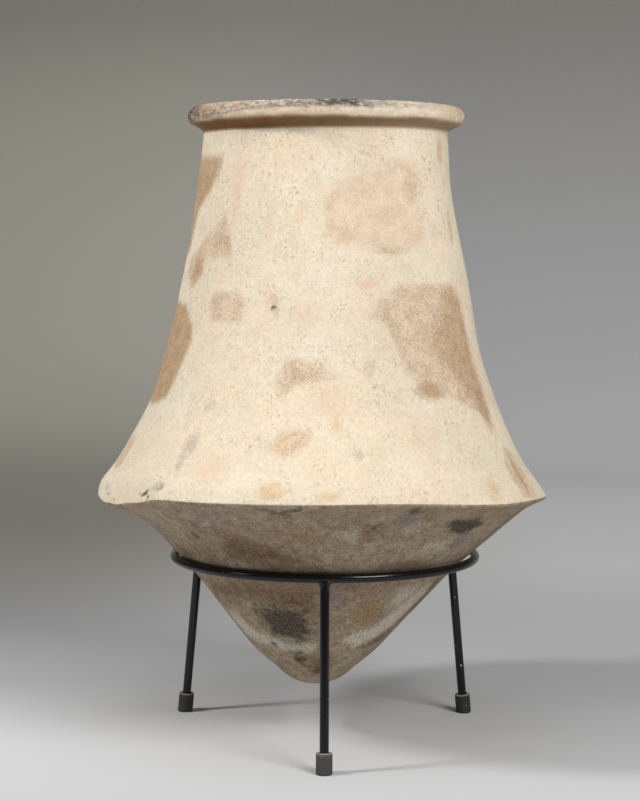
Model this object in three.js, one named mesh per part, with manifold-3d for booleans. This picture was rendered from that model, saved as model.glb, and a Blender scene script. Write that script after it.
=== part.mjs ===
// A pointed funerary urn of fired clay, standing in the ring of a three-legged steel display stand.
//
// Sizes are in millimetres, +Z is up and the front of the urn faces -Y. The origin is on the floor,
// under the middle of the stand's ring. The urn only rests in the ring, by its own weight.
import * as THREE from "three";
import { mergeVertices } from "three/addons/utils/BufferGeometryUtils.js";
import Module from "manifold-3d";

const wasm = await Module();
wasm.setup();

// The steel stand
const ROD_RADIUS = 5;
const RING_RADIUS = 174; // to the middle of the rod
const RING_HEIGHT = 208; // floor to the middle of the rod
const FOOT_CIRCLE_RADIUS = 196; // where the legs' own lines meet the floor
const WELD_SPREAD = 5; // how far the bead runs along the ring on each side of a leg
const WELD_DROP = 8; // how far the bead runs down the leg
const WELD_BEND = 0.75; // share of the way up at which the bead's flare turns outwards
const LEGS = { front: -90, right: 30, left: 150 }; // azimuth of each leg, in degrees from +X

// The rubber foot caps
const CAP_RADIUS = 9;
const CAP_HEIGHT = 23;
const CAP_SOLE = 5; // rubber under the end of the leg
const CAP_EDGE = 1.2; // rounding of the outer edges
const CAP_SLACK = 0.5; // between the leg and the bore of its cap

// The urn, measured up from its tip
const URN_HEIGHT = 664.5;
const TIP_ROUNDING = 60; // radius of the round nose
const TIP_SPREAD = 50; // degrees of that round before the wall runs straight on
const KEEL_RADIUS = 259.5;
const KEEL_HEIGHT = 220;
const KEEL_EDGE = 5; // length of wall taken off on each side of the edge
const NECK_RADIUS = 139;
const NECK_HEIGHT = 633.5; // where the neck is narrowest, under the lip
const LIP_RADIUS = 157.5;
const LIP_DEPTH = 20; // of the rolled edge, from crest to underside
const LIP_ROUNDING = 8; // how far the roll's middle lies inside its rim
const LIP_UNDERCUT = -55; // angle round the roll, in degrees, at which the hollow under it starts
const LIP_HOLLOW = { out: 1, up: 0.68 }; // where the hollow under the lip turns outwards: out, and share up
const NECK_WALL = 10;
const KEEL_WALL = 18; // level thickness of the wall at the keel
const TIP_WALL = 16;
const MOUTH_EDGE = 5; // rounding of the inner edge of the mouth

// The lower wall runs from the nose to the keel and the upper wall from the keel to the neck. Each
// station is a share of that way, up and across.
const LOWER_WALL = [
  [0.116, 0.125],
  [0.312, 0.281],
  [0.613, 0.519],
  [0.812, 0.714],
  [0.912, 0.835],
  [0.961, 0.911],
];
const UPPER_WALL = [
  [0.044, 0.075],
  [0.103, 0.215],
  [0.176, 0.354],
  [0.273, 0.508],
  [0.419, 0.666],
  [0.613, 0.8],
  [0.808, 0.927],
  [0.93, 0.98],
];

// What the potter's hand left out of true. The keel climbs towards the front, the middle line wanders
// to the left, the wall is fuller at front and back where it sits on the ring, and the edge of the
// keel has a fat roll and a pinched place on the left.
const KEEL_CLIMB = 15; // front up, back down
const KEEL_SADDLE = 2.5; // front and back up, sides down
const CLIMB_FADES_AT = 0.45; // share of the upper wall over which the climb dies away
const SEAT_FULLNESS = 1.6;
const SEAT_SPREAD = 40; // how far the fullness reaches up and down the wall
const WANDER = [
  // share of the urn's height, then sideways drift
  [0, -11],
  [0.1, -8.8],
  [0.15, -6],
  [0.2, -3.4],
  [0.238, -1.3],
  [0.285, 2.2],
  [0.335, -3.3],
  [0.36, -6],
  [0.41, -6.2],
  [0.505, -3.3],
  [0.565, -4],
  [0.715, -1.4],
  [0.86, -3.1],
  [1, -1],
];
const KEEL_LUMPS = [
  { azimuth: -154, reach: 12, above: 0, lift: -8, swell: 1 },
  { azimuth: -141, reach: 6, above: 0, lift: 3, swell: 0 },
  { azimuth: -48, reach: 16, above: 0, lift: -2, swell: 0 },
  { azimuth: 180, reach: 20, above: 16, lift: 0, swell: 2 },
];
const LUMP_HEIGHT = 13; // how far a lump reaches up and down the wall

// Clearances
const SEAT_GAP = 0.3; // between the urn and the ring that it rests in
const WELD_GAP = 0.3; // between the ring and a leg's bead
const LEG_END_GAP = 0.3; // between a leg's end and the rubber under it

// How finely round things are cut
const ROUND_STEPS = 64; // round the urn and the ring alike, so that their facets line up
const ROD_STEPS = 12;
const CAP_STEPS = 16;
const ARC_STEPS = 2; // for each small rounded edge
const NOSE_STEPS = { outside: 3, inside: 2 };
const LOWER_STEPS = { outside: 9, inside: 5 };
const UPPER_STEPS = { outside: 13, inside: 7 };
const KEEL_STEPS = 3;
const LIP_STEPS = { hollow: 3, roll: 4 };
const BEAD_STEPS = 4;
const SEAT_SAMPLES = 12; // points tried along each stretch of wall for where the ring touches

const CLAY = new THREE.MeshStandardMaterial({ color: 0xd9c8a6, roughness: 0.85, metalness: 0 });
const STEEL = new THREE.MeshStandardMaterial({ color: 0x17181a, roughness: 0.42, metalness: 0.3 });
const RUBBER = new THREE.MeshStandardMaterial({ color: 0x35342f, roughness: 0.8, metalness: 0 });

const radians = THREE.MathUtils.degToRad;
const { smoothstep, lerp } = THREE.MathUtils;

// Returns the points of a curve without its first, so that stretches can be joined end to end.
function along(curve, steps) {
  return curve.getPoints(steps).slice(1);
}

// Returns an arc about a centre, with angles in degrees from the level outward direction. An arc can
// be taller than it is wide.
function arc(centre, radius, from, to, tallness = 1) {
  const turns = [radians(from), radians(to), to < from];
  return new THREE.EllipseCurve(centre.x, centre.y, radius, radius * tallness, ...turns);
}

// Returns a smooth line from one point to another through stations given as shares up and across.
function wall(from, to, stations) {
  const between = stations.map(
    ([up, across]) => new THREE.Vector2(lerp(from.x, to.x, across), lerp(from.y, to.y, up)),
  );
  return new THREE.SplineCurve([from, ...between, to]);
}

// Returns where the round nose of a given radius ends and its wall begins.
function noseEnd(radius) {
  const turn = radians(TIP_SPREAD);
  return new THREE.Vector2(radius * Math.sin(turn), TIP_ROUNDING - radius * Math.cos(turn));
}

// Returns the outside of the lower wall, from the nose to the keel.
function outerLowerWall() {
  return wall(noseEnd(TIP_ROUNDING), new THREE.Vector2(KEEL_RADIUS, KEEL_HEIGHT), LOWER_WALL);
}

// Returns the outline of the outside, from the tip on the axis up to the crest of the lip.
function outsideProfile() {
  const keel = new THREE.Vector2(KEEL_RADIUS, KEEL_HEIGHT);
  const neck = new THREE.Vector2(NECK_RADIUS, NECK_HEIGHT);
  const lower = outerLowerWall();
  const upper = wall(keel, neck, UPPER_WALL);
  const edgeStart = lower.getPointAt(1 - KEEL_EDGE / lower.getLength());
  const edgeEnd = upper.getPointAt(KEEL_EDGE / upper.getLength());
  const lipCentre = new THREE.Vector2(LIP_RADIUS - LIP_ROUNDING, URN_HEIGHT - LIP_DEPTH / 2);
  const lip = arc(lipCentre, LIP_ROUNDING, LIP_UNDERCUT, 90, LIP_DEPTH / 2 / LIP_ROUNDING);
  const underLip = lip.getPoint(0);
  const bend = new THREE.Vector2(neck.x + LIP_HOLLOW.out, lerp(neck.y, underLip.y, LIP_HOLLOW.up));
  const nose = arc(new THREE.Vector2(0, TIP_ROUNDING), TIP_ROUNDING, -90, TIP_SPREAD - 90);
  const belowKeel = lower.getSpacedPoints(LOWER_STEPS.outside).filter((p) => p.y < edgeStart.y);
  const aboveKeel = upper.getSpacedPoints(UPPER_STEPS.outside).filter((p) => p.y > edgeEnd.y);
  return [
    new THREE.Vector2(0, 0),
    ...along(nose, NOSE_STEPS.outside),
    ...belowKeel.slice(1),
    ...new THREE.QuadraticBezierCurve(edgeStart, keel, edgeEnd).getPoints(KEEL_STEPS),
    ...aboveKeel,
    ...along(new THREE.QuadraticBezierCurve(neck, bend, underLip), LIP_STEPS.hollow),
    ...along(lip, LIP_STEPS.roll),
  ];
}

// Returns the outline of the inside, from the crest of the lip down to the hollow's floor on the axis.
function insideProfile() {
  const innerNose = TIP_ROUNDING - TIP_WALL;
  const innerNeck = new THREE.Vector2(NECK_RADIUS - NECK_WALL, NECK_HEIGHT);
  const innerKeel = new THREE.Vector2(KEEL_RADIUS - KEEL_WALL, KEEL_HEIGHT);
  const mouthCentre = new THREE.Vector2(innerNeck.x + MOUTH_EDGE, URN_HEIGHT - MOUTH_EDGE);
  const upper = wall(innerKeel, innerNeck, UPPER_WALL).getSpacedPoints(UPPER_STEPS.inside);
  const lower = wall(noseEnd(innerNose), innerKeel, LOWER_WALL).getSpacedPoints(LOWER_STEPS.inside);
  const nose = arc(new THREE.Vector2(0, TIP_ROUNDING), innerNose, TIP_SPREAD - 90, -90);
  return [
    ...arc(mouthCentre, MOUTH_EDGE, 90, 180).getPoints(ARC_STEPS),
    ...upper.reverse(),
    ...lower.reverse().slice(1),
    ...along(nose, NOSE_STEPS.inside),
  ];
}

// Returns the difference between two azimuths in degrees, from -180 to 180.
function turnBetween(a, b) {
  return ((((a - b) % 360) + 540) % 360) - 180;
}

// Returns the middle line's sideways drift as a smooth curve over the urn's height.
function wanderCurve() {
  const heights = WANDER.map(([share]) => share * URN_HEIGHT);
  const drifts = WANDER.map(([, drift]) => drift);
  return new THREE.CubicInterpolant(heights, drifts, 1);
}

// Returns a hump that is 1 at the middle and dies away over a reach on both sides.
function hump(distance, reach) {
  return Math.exp(-((distance / reach) ** 2));
}

// Returns how much fuller the wall is at front and back than the true round urn.
function fullness(height, seatHeight) {
  return SEAT_FULLNESS * hump(height - seatHeight, SEAT_SPREAD);
}

// Moves a point of the true round urn to where the potter's hand left it.
function outOfTrue(point, seatHeight, wander) {
  const radius = Math.hypot(point.x, point.y);
  const height = point.z;
  const drift = wander.evaluate(height)[0];
  if (radius === 0) return point.setX(drift);
  const azimuth = THREE.MathUtils.radToDeg(Math.atan2(point.y, point.x));
  const fromFront = radians(turnBetween(azimuth, LEGS.front));
  const fadeEnd = lerp(KEEL_HEIGHT, NECK_HEIGHT, CLIMB_FADES_AT);
  const climbs = smoothstep(height, seatHeight, KEEL_HEIGHT) * (1 - smoothstep(height, KEEL_HEIGHT, fadeEnd));
  let lift = climbs * (KEEL_CLIMB * Math.cos(fromFront) + KEEL_SADDLE * (1 + Math.cos(2 * fromFront)));
  let swell = fullness(height, seatHeight) * Math.cos(fromFront) ** 2;
  for (const lump of KEEL_LUMPS) {
    const across = hump(turnBetween(azimuth, lump.azimuth), lump.reach);
    const share = across * hump(height - KEEL_HEIGHT - lump.above, LUMP_HEIGHT);
    lift += lump.lift * share;
    swell += lump.swell * share;
  }
  const grown = 1 + swell / radius;
  return point.set(point.x * grown + drift, point.y * grown, height + lift);
}

// Returns where an upright line of points, given as radius and height, first meets the ring: the
// height on the line, and how high the line's zero then hangs over the floor.
function touchRing(line) {
  const reach = ROD_RADIUS + SEAT_GAP;
  let touch = { height: 0, hangs: -Infinity };
  for (let i = 1; i < line.length; i++) {
    for (let step = 0; step <= SEAT_SAMPLES; step++) {
      const p = line[i - 1].clone().lerp(line[i], step / SEAT_SAMPLES);
      const across = p.x - RING_RADIUS;
      if (p.y > KEEL_HEIGHT || Math.abs(across) > reach) continue;
      const hangs = RING_HEIGHT + Math.sqrt(reach * reach - across * across) - p.y;
      if (hangs > touch.hangs) touch = { height: p.y, hangs };
    }
  }
  return touch;
}

// Returns how high the tip hangs over the floor once the urn, out of true as it is, rests in the ring.
function restingHeight(profile, seatHeight, wander) {
  let hangs = -Infinity;
  for (let step = 0; step < ROUND_STEPS; step++) {
    const turn = (2 * Math.PI * step) / ROUND_STEPS;
    const line = profile.map((p) => {
      const point = new THREE.Vector3(p.x * Math.cos(turn), p.x * Math.sin(turn), p.y);
      outOfTrue(point, seatHeight, wander);
      return new THREE.Vector2(Math.hypot(point.x, point.y), point.z);
    });
    hangs = Math.max(hangs, touchRing(line).hangs);
  }
  return hangs;
}

// Strips a geometry to its places alone and joins the points that coincide.
function welded(geometry) {
  const bare = geometry.clone();
  for (const name of Object.keys(bare.attributes)) if (name !== "position") bare.deleteAttribute(name);
  return mergeVertices(bare, 1e-4);
}

// Returns a geometry as a manifold-3d solid.
function solid(geometry) {
  const joined = welded(geometry);
  const vertProperties = new Float32Array(joined.attributes.position.array);
  return new wasm.Manifold(
    new wasm.Mesh({ numProp: 3, vertProperties, triVerts: new Uint32Array(joined.index.array) }),
  );
}

// Returns a manifold-3d solid as a geometry with its own normals.
function geometryOf(body) {
  const mesh = body.getMesh();
  const places = new Float32Array(mesh.numVert * 3);
  for (let i = 0; i < mesh.numVert; i++) {
    places.set(mesh.vertProperties.subarray(i * mesh.numProp, i * mesh.numProp + 3), i * 3);
  }
  const made = new THREE.BufferGeometry();
  made.setAttribute("position", new THREE.BufferAttribute(places, 3));
  made.setIndex(new THREE.BufferAttribute(new Uint32Array(mesh.triVerts), 1));
  made.computeVertexNormals();
  return made;
}

// Turns an outline about the vertical axis. The outline lists radius and height.
function turned(profile, steps) {
  return new THREE.LatheGeometry(profile, steps).rotateX(Math.PI / 2);
}

function makeUrn() {
  const outside = outsideProfile();
  const geometry = turned([...outside, ...insideProfile()], ROUND_STEPS);
  const places = geometry.attributes.position;
  const seatHeight = touchRing(outside).height;
  const wander = wanderCurve();
  const point = new THREE.Vector3();
  for (let i = 0; i < places.count; i++) {
    outOfTrue(point.fromBufferAttribute(places, i), seatHeight, wander);
    places.setXYZ(i, point.x, point.y, point.z);
  }
  const clean = welded(geometry);
  clean.computeVertexNormals();
  const urn = new THREE.Mesh(clean, CLAY);
  urn.name = "urn";
  urn.position.z = restingHeight(outside, seatHeight, wander);
  return urn;
}

function makeRing() {
  const ring = new THREE.Mesh(new THREE.TorusGeometry(RING_RADIUS, ROD_RADIUS, ROD_STEPS, ROUND_STEPS), STEEL);
  ring.name = "stand_ring";
  ring.position.z = RING_HEIGHT;
  return ring;
}

// A leg and its cap share one slanting line, from the middle of the ring's rod down to the foot
// circle. Returns the frame of that line: its origin on the floor and its Z axis up along the leg.
function legFrame(azimuth) {
  const outward = new THREE.Vector3(Math.cos(radians(azimuth)), Math.sin(radians(azimuth)), 0);
  const foot = outward.clone().multiplyScalar(FOOT_CIRCLE_RADIUS);
  const top = outward.clone().multiplyScalar(RING_RADIUS).setZ(RING_HEIGHT);
  const up = top.clone().sub(foot).normalize();
  const sideways = new THREE.Vector3(0, 0, 1).cross(outward).normalize();
  const forward = sideways.clone().cross(up).normalize();
  return {
    matrix: new THREE.Matrix4().makeBasis(forward, sideways, up).setPosition(foot),
    length: top.distanceTo(foot),
    slant: up.angleTo(new THREE.Vector3(0, 0, 1)),
  };
}

// How far a cap's own end lies below the floor along its line, so that its sole can be cut level.
function capOverrun(slant) {
  return CAP_RADIUS * Math.tan(slant);
}

// The bead flares out along the ring, and is no wider than the rod across it.
function weldBead(length) {
  const start = length - ROD_RADIUS - WELD_DROP;
  const end = length - ROD_RADIUS / 2;
  const flare = new THREE.QuadraticBezierCurve(
    new THREE.Vector2(ROD_RADIUS, start),
    new THREE.Vector2(ROD_RADIUS, lerp(start, end, WELD_BEND)),
    new THREE.Vector2(ROD_RADIUS + WELD_SPREAD, end),
  );
  const profile = [new THREE.Vector2(0, start), ...flare.getPoints(BEAD_STEPS), new THREE.Vector2(0, end)];
  const bead = turned(profile, CAP_STEPS);
  const places = bead.attributes.position;
  for (let i = 0; i < places.count; i++) {
    const across = places.getX(i);
    places.setX(i, Math.sign(across) * Math.min(Math.abs(across), ROD_RADIUS));
  }
  return solid(bead);
}

function makeLeg(side, azimuth) {
  const { matrix, length, slant } = legFrame(azimuth);
  const bottom = CAP_SOLE + LEG_END_GAP - capOverrun(slant);
  const rodLength = length - bottom;
  const rod = new THREE.CylinderGeometry(ROD_RADIUS, ROD_RADIUS, rodLength, CAP_STEPS / 2)
    .rotateX(Math.PI / 2)
    .translate(0, 0, bottom + rodLength / 2);
  const ringGap = solid(
    new THREE.TorusGeometry(RING_RADIUS, ROD_RADIUS + WELD_GAP, CAP_STEPS, ROUND_STEPS)
      .translate(0, 0, RING_HEIGHT)
      .applyMatrix4(matrix.clone().invert()),
  );
  const coped = solid(rod).add(weldBead(length)).subtract(ringGap);
  const below = coped.decompose().sort((a, b) => b.volume() - a.volume())[0];
  const leg = new THREE.Mesh(geometryOf(below), STEEL);
  leg.name = `stand_leg_${side}`;
  leg.applyMatrix4(matrix);
  return leg;
}

function makeCap(side, azimuth) {
  const { matrix, slant } = legFrame(azimuth);
  const overrun = capOverrun(slant);
  const bore = ROD_RADIUS + CAP_SLACK;
  const topEdge = new THREE.Vector2(CAP_RADIUS - CAP_EDGE, CAP_HEIGHT - CAP_EDGE);
  const chamfer = CAP_EDGE / 2;
  const profile = [
    new THREE.Vector2(0, -overrun),
    new THREE.Vector2(CAP_RADIUS - CAP_EDGE, -overrun),
    new THREE.Vector2(CAP_RADIUS, CAP_EDGE - overrun),
    ...arc(topEdge, CAP_EDGE, 0, 90).getPoints(ARC_STEPS),
    new THREE.Vector2(bore + chamfer, CAP_HEIGHT),
    new THREE.Vector2(bore, CAP_HEIGHT - chamfer),
    new THREE.Vector2(bore, CAP_SOLE - overrun),
    new THREE.Vector2(0, CAP_SOLE - overrun),
  ];
  const floorSize = 4 * (CAP_HEIGHT + CAP_RADIUS);
  const floor = new THREE.BoxGeometry(floorSize, floorSize, floorSize)
    .translate(0, 0, -floorSize / 2)
    .applyMatrix4(new THREE.Matrix4().extractRotation(matrix).invert());
  const standing = solid(turned(profile, CAP_STEPS)).subtract(solid(floor));
  const cap = new THREE.Mesh(geometryOf(standing), RUBBER);
  cap.name = `foot_cap_${side}`;
  cap.applyMatrix4(matrix);
  return cap;
}

function makeStand() {
  const stand = new THREE.Group();
  stand.add(makeRing());
  for (const [side, azimuth] of Object.entries(LEGS)) {
    stand.add(makeLeg(side, azimuth), makeCap(side, azimuth));
  }
  return stand;
}

const urnOnStand = new THREE.Group();
urnOnStand.add(makeUrn(), makeStand());

export default urnOnStand;
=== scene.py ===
"""A pointed funerary urn of fired clay, dressed for the camera in the ring of its steel stand.

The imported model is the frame, and every size and place follows it. The urn is turned here as a fine
skin with its slip, worn places, stains and rootlet marks. The stand is bent rod under black paint with
weld beads, and its feet are cut rubber caps. Lengths named here are millimetres, and meshes are metres.
"""

import math

import bmesh
import bpy
import numpy as np
from bpy.props import FloatProperty, FloatVectorProperty, IntProperty, PointerProperty
from mathutils import Matrix, Vector, noise


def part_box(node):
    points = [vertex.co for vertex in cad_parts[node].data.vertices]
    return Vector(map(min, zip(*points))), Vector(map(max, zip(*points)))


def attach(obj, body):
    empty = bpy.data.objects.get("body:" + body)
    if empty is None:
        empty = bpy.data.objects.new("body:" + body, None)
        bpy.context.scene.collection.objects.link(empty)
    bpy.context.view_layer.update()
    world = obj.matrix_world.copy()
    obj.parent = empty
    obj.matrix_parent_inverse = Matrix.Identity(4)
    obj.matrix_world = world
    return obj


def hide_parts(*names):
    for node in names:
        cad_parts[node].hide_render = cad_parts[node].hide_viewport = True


bl_info = {
    "name": "Funerary urn on its stand",
    "version": (1, 0, 0),
    "blender": (4, 5, 0),
    "location": "3D View > Sidebar > Urn",
    "description": "Builds the fine clay urn, its painted steel stand, the rubber feet and a plain studio",
    "category": "Add Mesh",
}

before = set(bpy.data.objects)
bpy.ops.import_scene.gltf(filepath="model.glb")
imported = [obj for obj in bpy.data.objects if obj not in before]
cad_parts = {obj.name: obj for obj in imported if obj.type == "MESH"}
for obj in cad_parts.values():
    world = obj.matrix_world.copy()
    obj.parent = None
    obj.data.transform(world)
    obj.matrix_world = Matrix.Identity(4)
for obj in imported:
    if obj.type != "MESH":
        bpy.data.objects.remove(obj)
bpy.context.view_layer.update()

MM = 0.001
FRONT = -90  # azimuth of the front, in degrees from +X

# The urn's outline, measured up from its tip
URN_HEIGHT = 664.5
TIP_ROUNDING = 60
TIP_SPREAD = 50  # degrees of the round nose before the wall runs straight on
KEEL_RADIUS = 259.5
KEEL_HEIGHT = 220
KEEL_EDGE = 5
NECK_RADIUS = 139
NECK_HEIGHT = 633.5
LIP_RADIUS = 157.5
LIP_DEPTH = 20
LIP_ROUNDING = 8
LIP_UNDERCUT = -55  # angle round the roll at which the hollow under it starts
LIP_HOLLOW = (1, 0.68)  # where that hollow turns outwards: out, and share up
NECK_WALL = 10
KEEL_WALL = 18
TIP_WALL = 16
MOUTH_EDGE = 5

# Stations of the two walls, as shares up and across
LOWER_WALL = (
    (0.116, 0.125),
    (0.312, 0.281),
    (0.613, 0.519),
    (0.812, 0.714),
    (0.912, 0.835),
    (0.961, 0.911),
)
UPPER_WALL = (
    (0.044, 0.075),
    (0.103, 0.215),
    (0.176, 0.354),
    (0.273, 0.508),
    (0.419, 0.666),
    (0.613, 0.8),
    (0.808, 0.927),
    (0.93, 0.98),
)

# What the potter's hand left out of true
KEEL_CLIMB = 15
KEEL_SADDLE = 2.5
CLIMB_FADES_AT = 0.45
SEAT_FULLNESS = 1.6
SEAT_SPREAD = 40
SEAT_GAP = 0.3
LUMP_HEIGHT = 13
WANDER = (
    (0, -11),
    (0.1, -8.8),
    (0.15, -6),
    (0.2, -3.4),
    (0.238, -1.3),
    (0.285, 2.2),
    (0.335, -3.3),
    (0.36, -6),
    (0.41, -6.2),
    (0.505, -3.3),
    (0.565, -4),
    (0.715, -1.4),
    (0.86, -3.1),
    (1, -1),
)
# Azimuth, reach in degrees, height over the keel, lift, swell
KEEL_LUMPS = (
    (-154, 12, 0, -8, 1),
    (-141, 6, 0, 3, 0),
    (-48, 16, 0, -2, 0),
    (180, 20, 16, 0, 2),
)

# Finer lumps along the keel's edge, which the solid leaves out
FINE_LUMPS = (
    (-155, 4, 0, 2.2, 0),
    (-140.5, 4, 0, -4.2, 0),
    (-131, 6, 0, 1.6, 0),
    (-108, 14, 0, -0.8, 0),
    (-92, 14, 0, -1.2, 0),
    (-38, 12, 0, -1.2, 0),
)
FINE_LUMP_HEIGHT = 9
# Gouges over the keel: azimuth, reach in degrees, height
GOUGES = ((-138.5, 1.1, 244), (-136.7, 0.9, 238))
GOUGE_REACH = 4
GOUGE_DEPTH = 1.2
LIP_WAVE = 1.6
BITE_DEPTH = 1.1

# Sides of the urn that differ from the rest, each an azimuth and a reach in degrees
FULLER_SIDE = (-5, 50)
# Where the painted shade and grime just above the ring are strongest
SEAT_SHADE_AND_GRIME_SIDE = (-125, 60)
# Where the painted shadow and grime in the hollow under the lip are strongest
SHADED_GRIMY_SIDE = (-130, 80)
WORN_LEFT = (-160, 38)
WORN_RIGHT = (-12, 26)
SOOTY_FRONT = (-95, 60)
SOOTY_LEFT = (-172, 20)
LOW_SOOT_SIDE = (-140, 16)

# Thicker soot on the lip: azimuth, strength
LIP_SOOT = ((-140, 0.2), (-112, 0.2), (-81, 0.5))
LIP_SOOT_REACH = 14

# How closely the skin is divided
ROUND_STEPS = 340
WALL_STEP = 5
FINE_STEP = 2  # along the wall next to the keel
FINE_REACH = 18
INSIDE_STEP = 13

# The stand
LEG_AZIMUTHS = {"front": -90, "right": 30, "left": 150}
FOOT_CIRCLE_RADIUS = 196
WELD_SPREAD = 5
WELD_DROP = 8
CAP_RADIUS = 9
CAP_HEIGHT = 23
CAP_SOLE = 5
CAP_EDGE = 1.2
CAP_SLACK = 0.5

# The camera, in the photograph's frame of 640 by 801 pixels
PHOTO_HEIGHT = 801
FOCAL_PIXELS = 1985.9
CAMERA_PLACE = (0, -2289, 556.8)
CAMERA_PITCH = 4.237
CAMERA_ROLL = 0.2
CAMERA_PAN = 0.159
SENSOR = 36
LIT_MIDDLE = (0, 0, 0.38)  # what the lights on the urn face, in metres
WALL_LIGHT = (1.6, 1.2, 2.2)
WALL_LIT = (1.5, 4, 0.2)

# Stations over the paper, from the front along the floor and up the wall, in metres, at which its painted
# light and shade are set
PAPER_STATIONS = (-0.3, 0.05, 0.3, 1.4, 2.6, 4.0, 5.5)
PAPER_TONES_START = PAPER_STATIONS[0]
PAPER_TONES_END = PAPER_STATIONS[-1]


def srgb(red, green, blue):
    """Turns a colour as a screen shows it, 0 to 255, into the linear one that a shader takes."""
    shares = (value / 255 for value in (red, green, blue))
    return tuple(s / 12.92 if s <= 0.04045 else ((s + 0.055) / 1.055) ** 2.4 for s in shares)


def smooth(value, low, high):
    """A smooth rise from 0 at low to 1 at high."""
    share = np.clip((value - low) / (high - low), 0, 1)
    return share * share * (3 - 2 * share)


def bell(distance, reach):
    """A hump that is 1 at the middle and dies away over a reach on both sides."""
    return np.exp(-((distance / reach) ** 2))


def turn_between(azimuth, other):
    """The difference of two azimuths in degrees, from -180 to 180."""
    return (azimuth - other + 180) % 360 - 180


def about(azimuth, middle, reach):
    """1 at one azimuth, and dying away over a reach of degrees on both sides."""
    return bell(turn_between(azimuth, middle), reach)


def azimuth_of(places):
    """The azimuth of each place about the upright axis, in degrees."""
    return np.degrees(np.arctan2(places[:, 1], places[:, 0]))


def ripple(points, size, seed):
    """Smooth noise from about -1 to 1 at each point, with features of that size in millimetres."""
    shift = Vector((17.3, 7.1, 3.7)) * seed
    return np.array([noise.noise(Vector(p) / size + shift) for p in points])


def spline(knots, steps=24):
    """An even spline through knots, as many close points."""
    knots = np.asarray(knots, float)
    held = np.vstack([knots[:1], knots, knots[-1:]])
    t = np.linspace(0, 1, steps, endpoint=False)[:, None]
    parts = []
    for a, b, c, d in zip(held, held[1:], held[2:], held[3:]):
        leave, arrive = (c - a) / 2, (d - b) / 2
        cubic = (2 * b - 2 * c + leave + arrive) * t**3
        square = (-3 * b + 3 * c - 2 * leave - arrive) * t**2
        parts.append(cubic + square + leave * t + b)
    return np.vstack([*parts, knots[-1:]])


def bend(start, middle, end, steps):
    """A quadratic curve from start to end that leans towards the middle."""
    start, middle, end = (np.asarray(p, float) for p in (start, middle, end))
    t = np.linspace(0, 1, steps + 1)[:, None]
    return (1 - t) ** 2 * start + 2 * t * (1 - t) * middle + t * t * end


def arc(centre, wide, tall, start, end, steps):
    """An arc about a centre, with angles in degrees from the level outward direction."""
    angle = np.radians(np.linspace(start, end, steps + 1))
    return np.column_stack([centre[0] + wide * np.cos(angle), centre[1] + tall * np.sin(angle)])


def run_of(line):
    """How far along a line each of its points lies."""
    return np.concatenate([[0], np.cumsum(np.hypot(*np.diff(line, axis=0).T))])


def at_marks(line, marks):
    """The points of a line at given distances along it."""
    run = run_of(line)
    return np.column_stack([np.interp(marks, run, line[:, axis]) for axis in (0, 1)])


def wall(start, end, stations):
    """A smooth wall from one point to another through stations given as shares up and across."""
    wide, tall = end[0] - start[0], end[1] - start[1]
    between = [(start[0] + across * wide, start[1] + up * tall) for up, across in stations]
    return spline([start, *between, end])


def nose_end(radius):
    """Where the round nose of that radius ends and its wall begins."""
    turn = math.radians(TIP_SPREAD)
    return radius * math.sin(turn), TIP_ROUNDING - radius * math.cos(turn)


def even_marks(start, end, step):
    """Distances from start to end, about a step apart, without the first."""
    return np.linspace(start, end, max(2, round((end - start) / step) + 1))[1:]


def outside_outline():
    """The outside as radius and height, from the tip to the crest of the lip."""
    keel = (KEEL_RADIUS, KEEL_HEIGHT)
    neck = (NECK_RADIUS, NECK_HEIGHT)
    lower = wall(nose_end(TIP_ROUNDING), keel, LOWER_WALL)
    upper = wall(keel, neck, UPPER_WALL)
    low_run, high_run = run_of(lower)[-1], run_of(upper)[-1]
    edge_at = low_run - KEEL_EDGE
    edge_start, edge_end = at_marks(lower, [edge_at])[0], at_marks(upper, [KEEL_EDGE])[0]
    fine_start = edge_at - FINE_REACH
    fine_end = KEEL_EDGE + FINE_REACH
    below = [even_marks(0, fine_start, WALL_STEP), even_marks(fine_start, edge_at, FINE_STEP)[:-1]]
    above = [even_marks(KEEL_EDGE, fine_end, FINE_STEP), even_marks(fine_end, high_run, WALL_STEP)]
    lip_centre = (LIP_RADIUS - LIP_ROUNDING, URN_HEIGHT - LIP_DEPTH / 2)
    lip = arc(lip_centre, LIP_ROUNDING, LIP_DEPTH / 2, LIP_UNDERCUT, 90, 20)
    hollow_bend = (neck[0] + LIP_HOLLOW[0], neck[1] + LIP_HOLLOW[1] * (lip[0][1] - neck[1]))
    return np.vstack(
        [
            arc((0, TIP_ROUNDING), TIP_ROUNDING, TIP_ROUNDING, -90, TIP_SPREAD - 90, 12),
            at_marks(lower, np.concatenate(below)),
            bend(edge_start, keel, edge_end, 8),
            at_marks(upper, np.concatenate(above)),
            bend(neck, hollow_bend, lip[0], 9)[1:],
            lip[1:],
        ]
    )


def inside_outline():
    """The inside as radius and height, from the crest of the lip down to the floor on the axis."""
    inner_nose = TIP_ROUNDING - TIP_WALL
    inner_neck = (NECK_RADIUS - NECK_WALL, NECK_HEIGHT)
    inner_keel = (KEEL_RADIUS - KEEL_WALL, KEEL_HEIGHT)
    mouth_centre = (inner_neck[0] + MOUTH_EDGE, URN_HEIGHT - MOUTH_EDGE)
    crest = (LIP_RADIUS - LIP_ROUNDING, URN_HEIGHT)
    mouth = arc(mouth_centre, MOUTH_EDGE, MOUTH_EDGE, 90, 180, 4)
    upper = wall(inner_keel, inner_neck, UPPER_WALL)[::-1]
    lower = wall(nose_end(inner_nose), inner_keel, LOWER_WALL)[::-1]
    return np.vstack(
        [
            np.linspace(crest, mouth[0], 5)[1:],
            mouth[1:],
            inner_neck,
            at_marks(upper, even_marks(0, run_of(upper)[-1], INSIDE_STEP)),
            at_marks(lower, even_marks(0, run_of(lower)[-1], INSIDE_STEP)),
            arc((0, TIP_ROUNDING), inner_nose, inner_nose, TIP_SPREAD - 90, -90, 5)[1:],
        ]
    )


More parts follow.
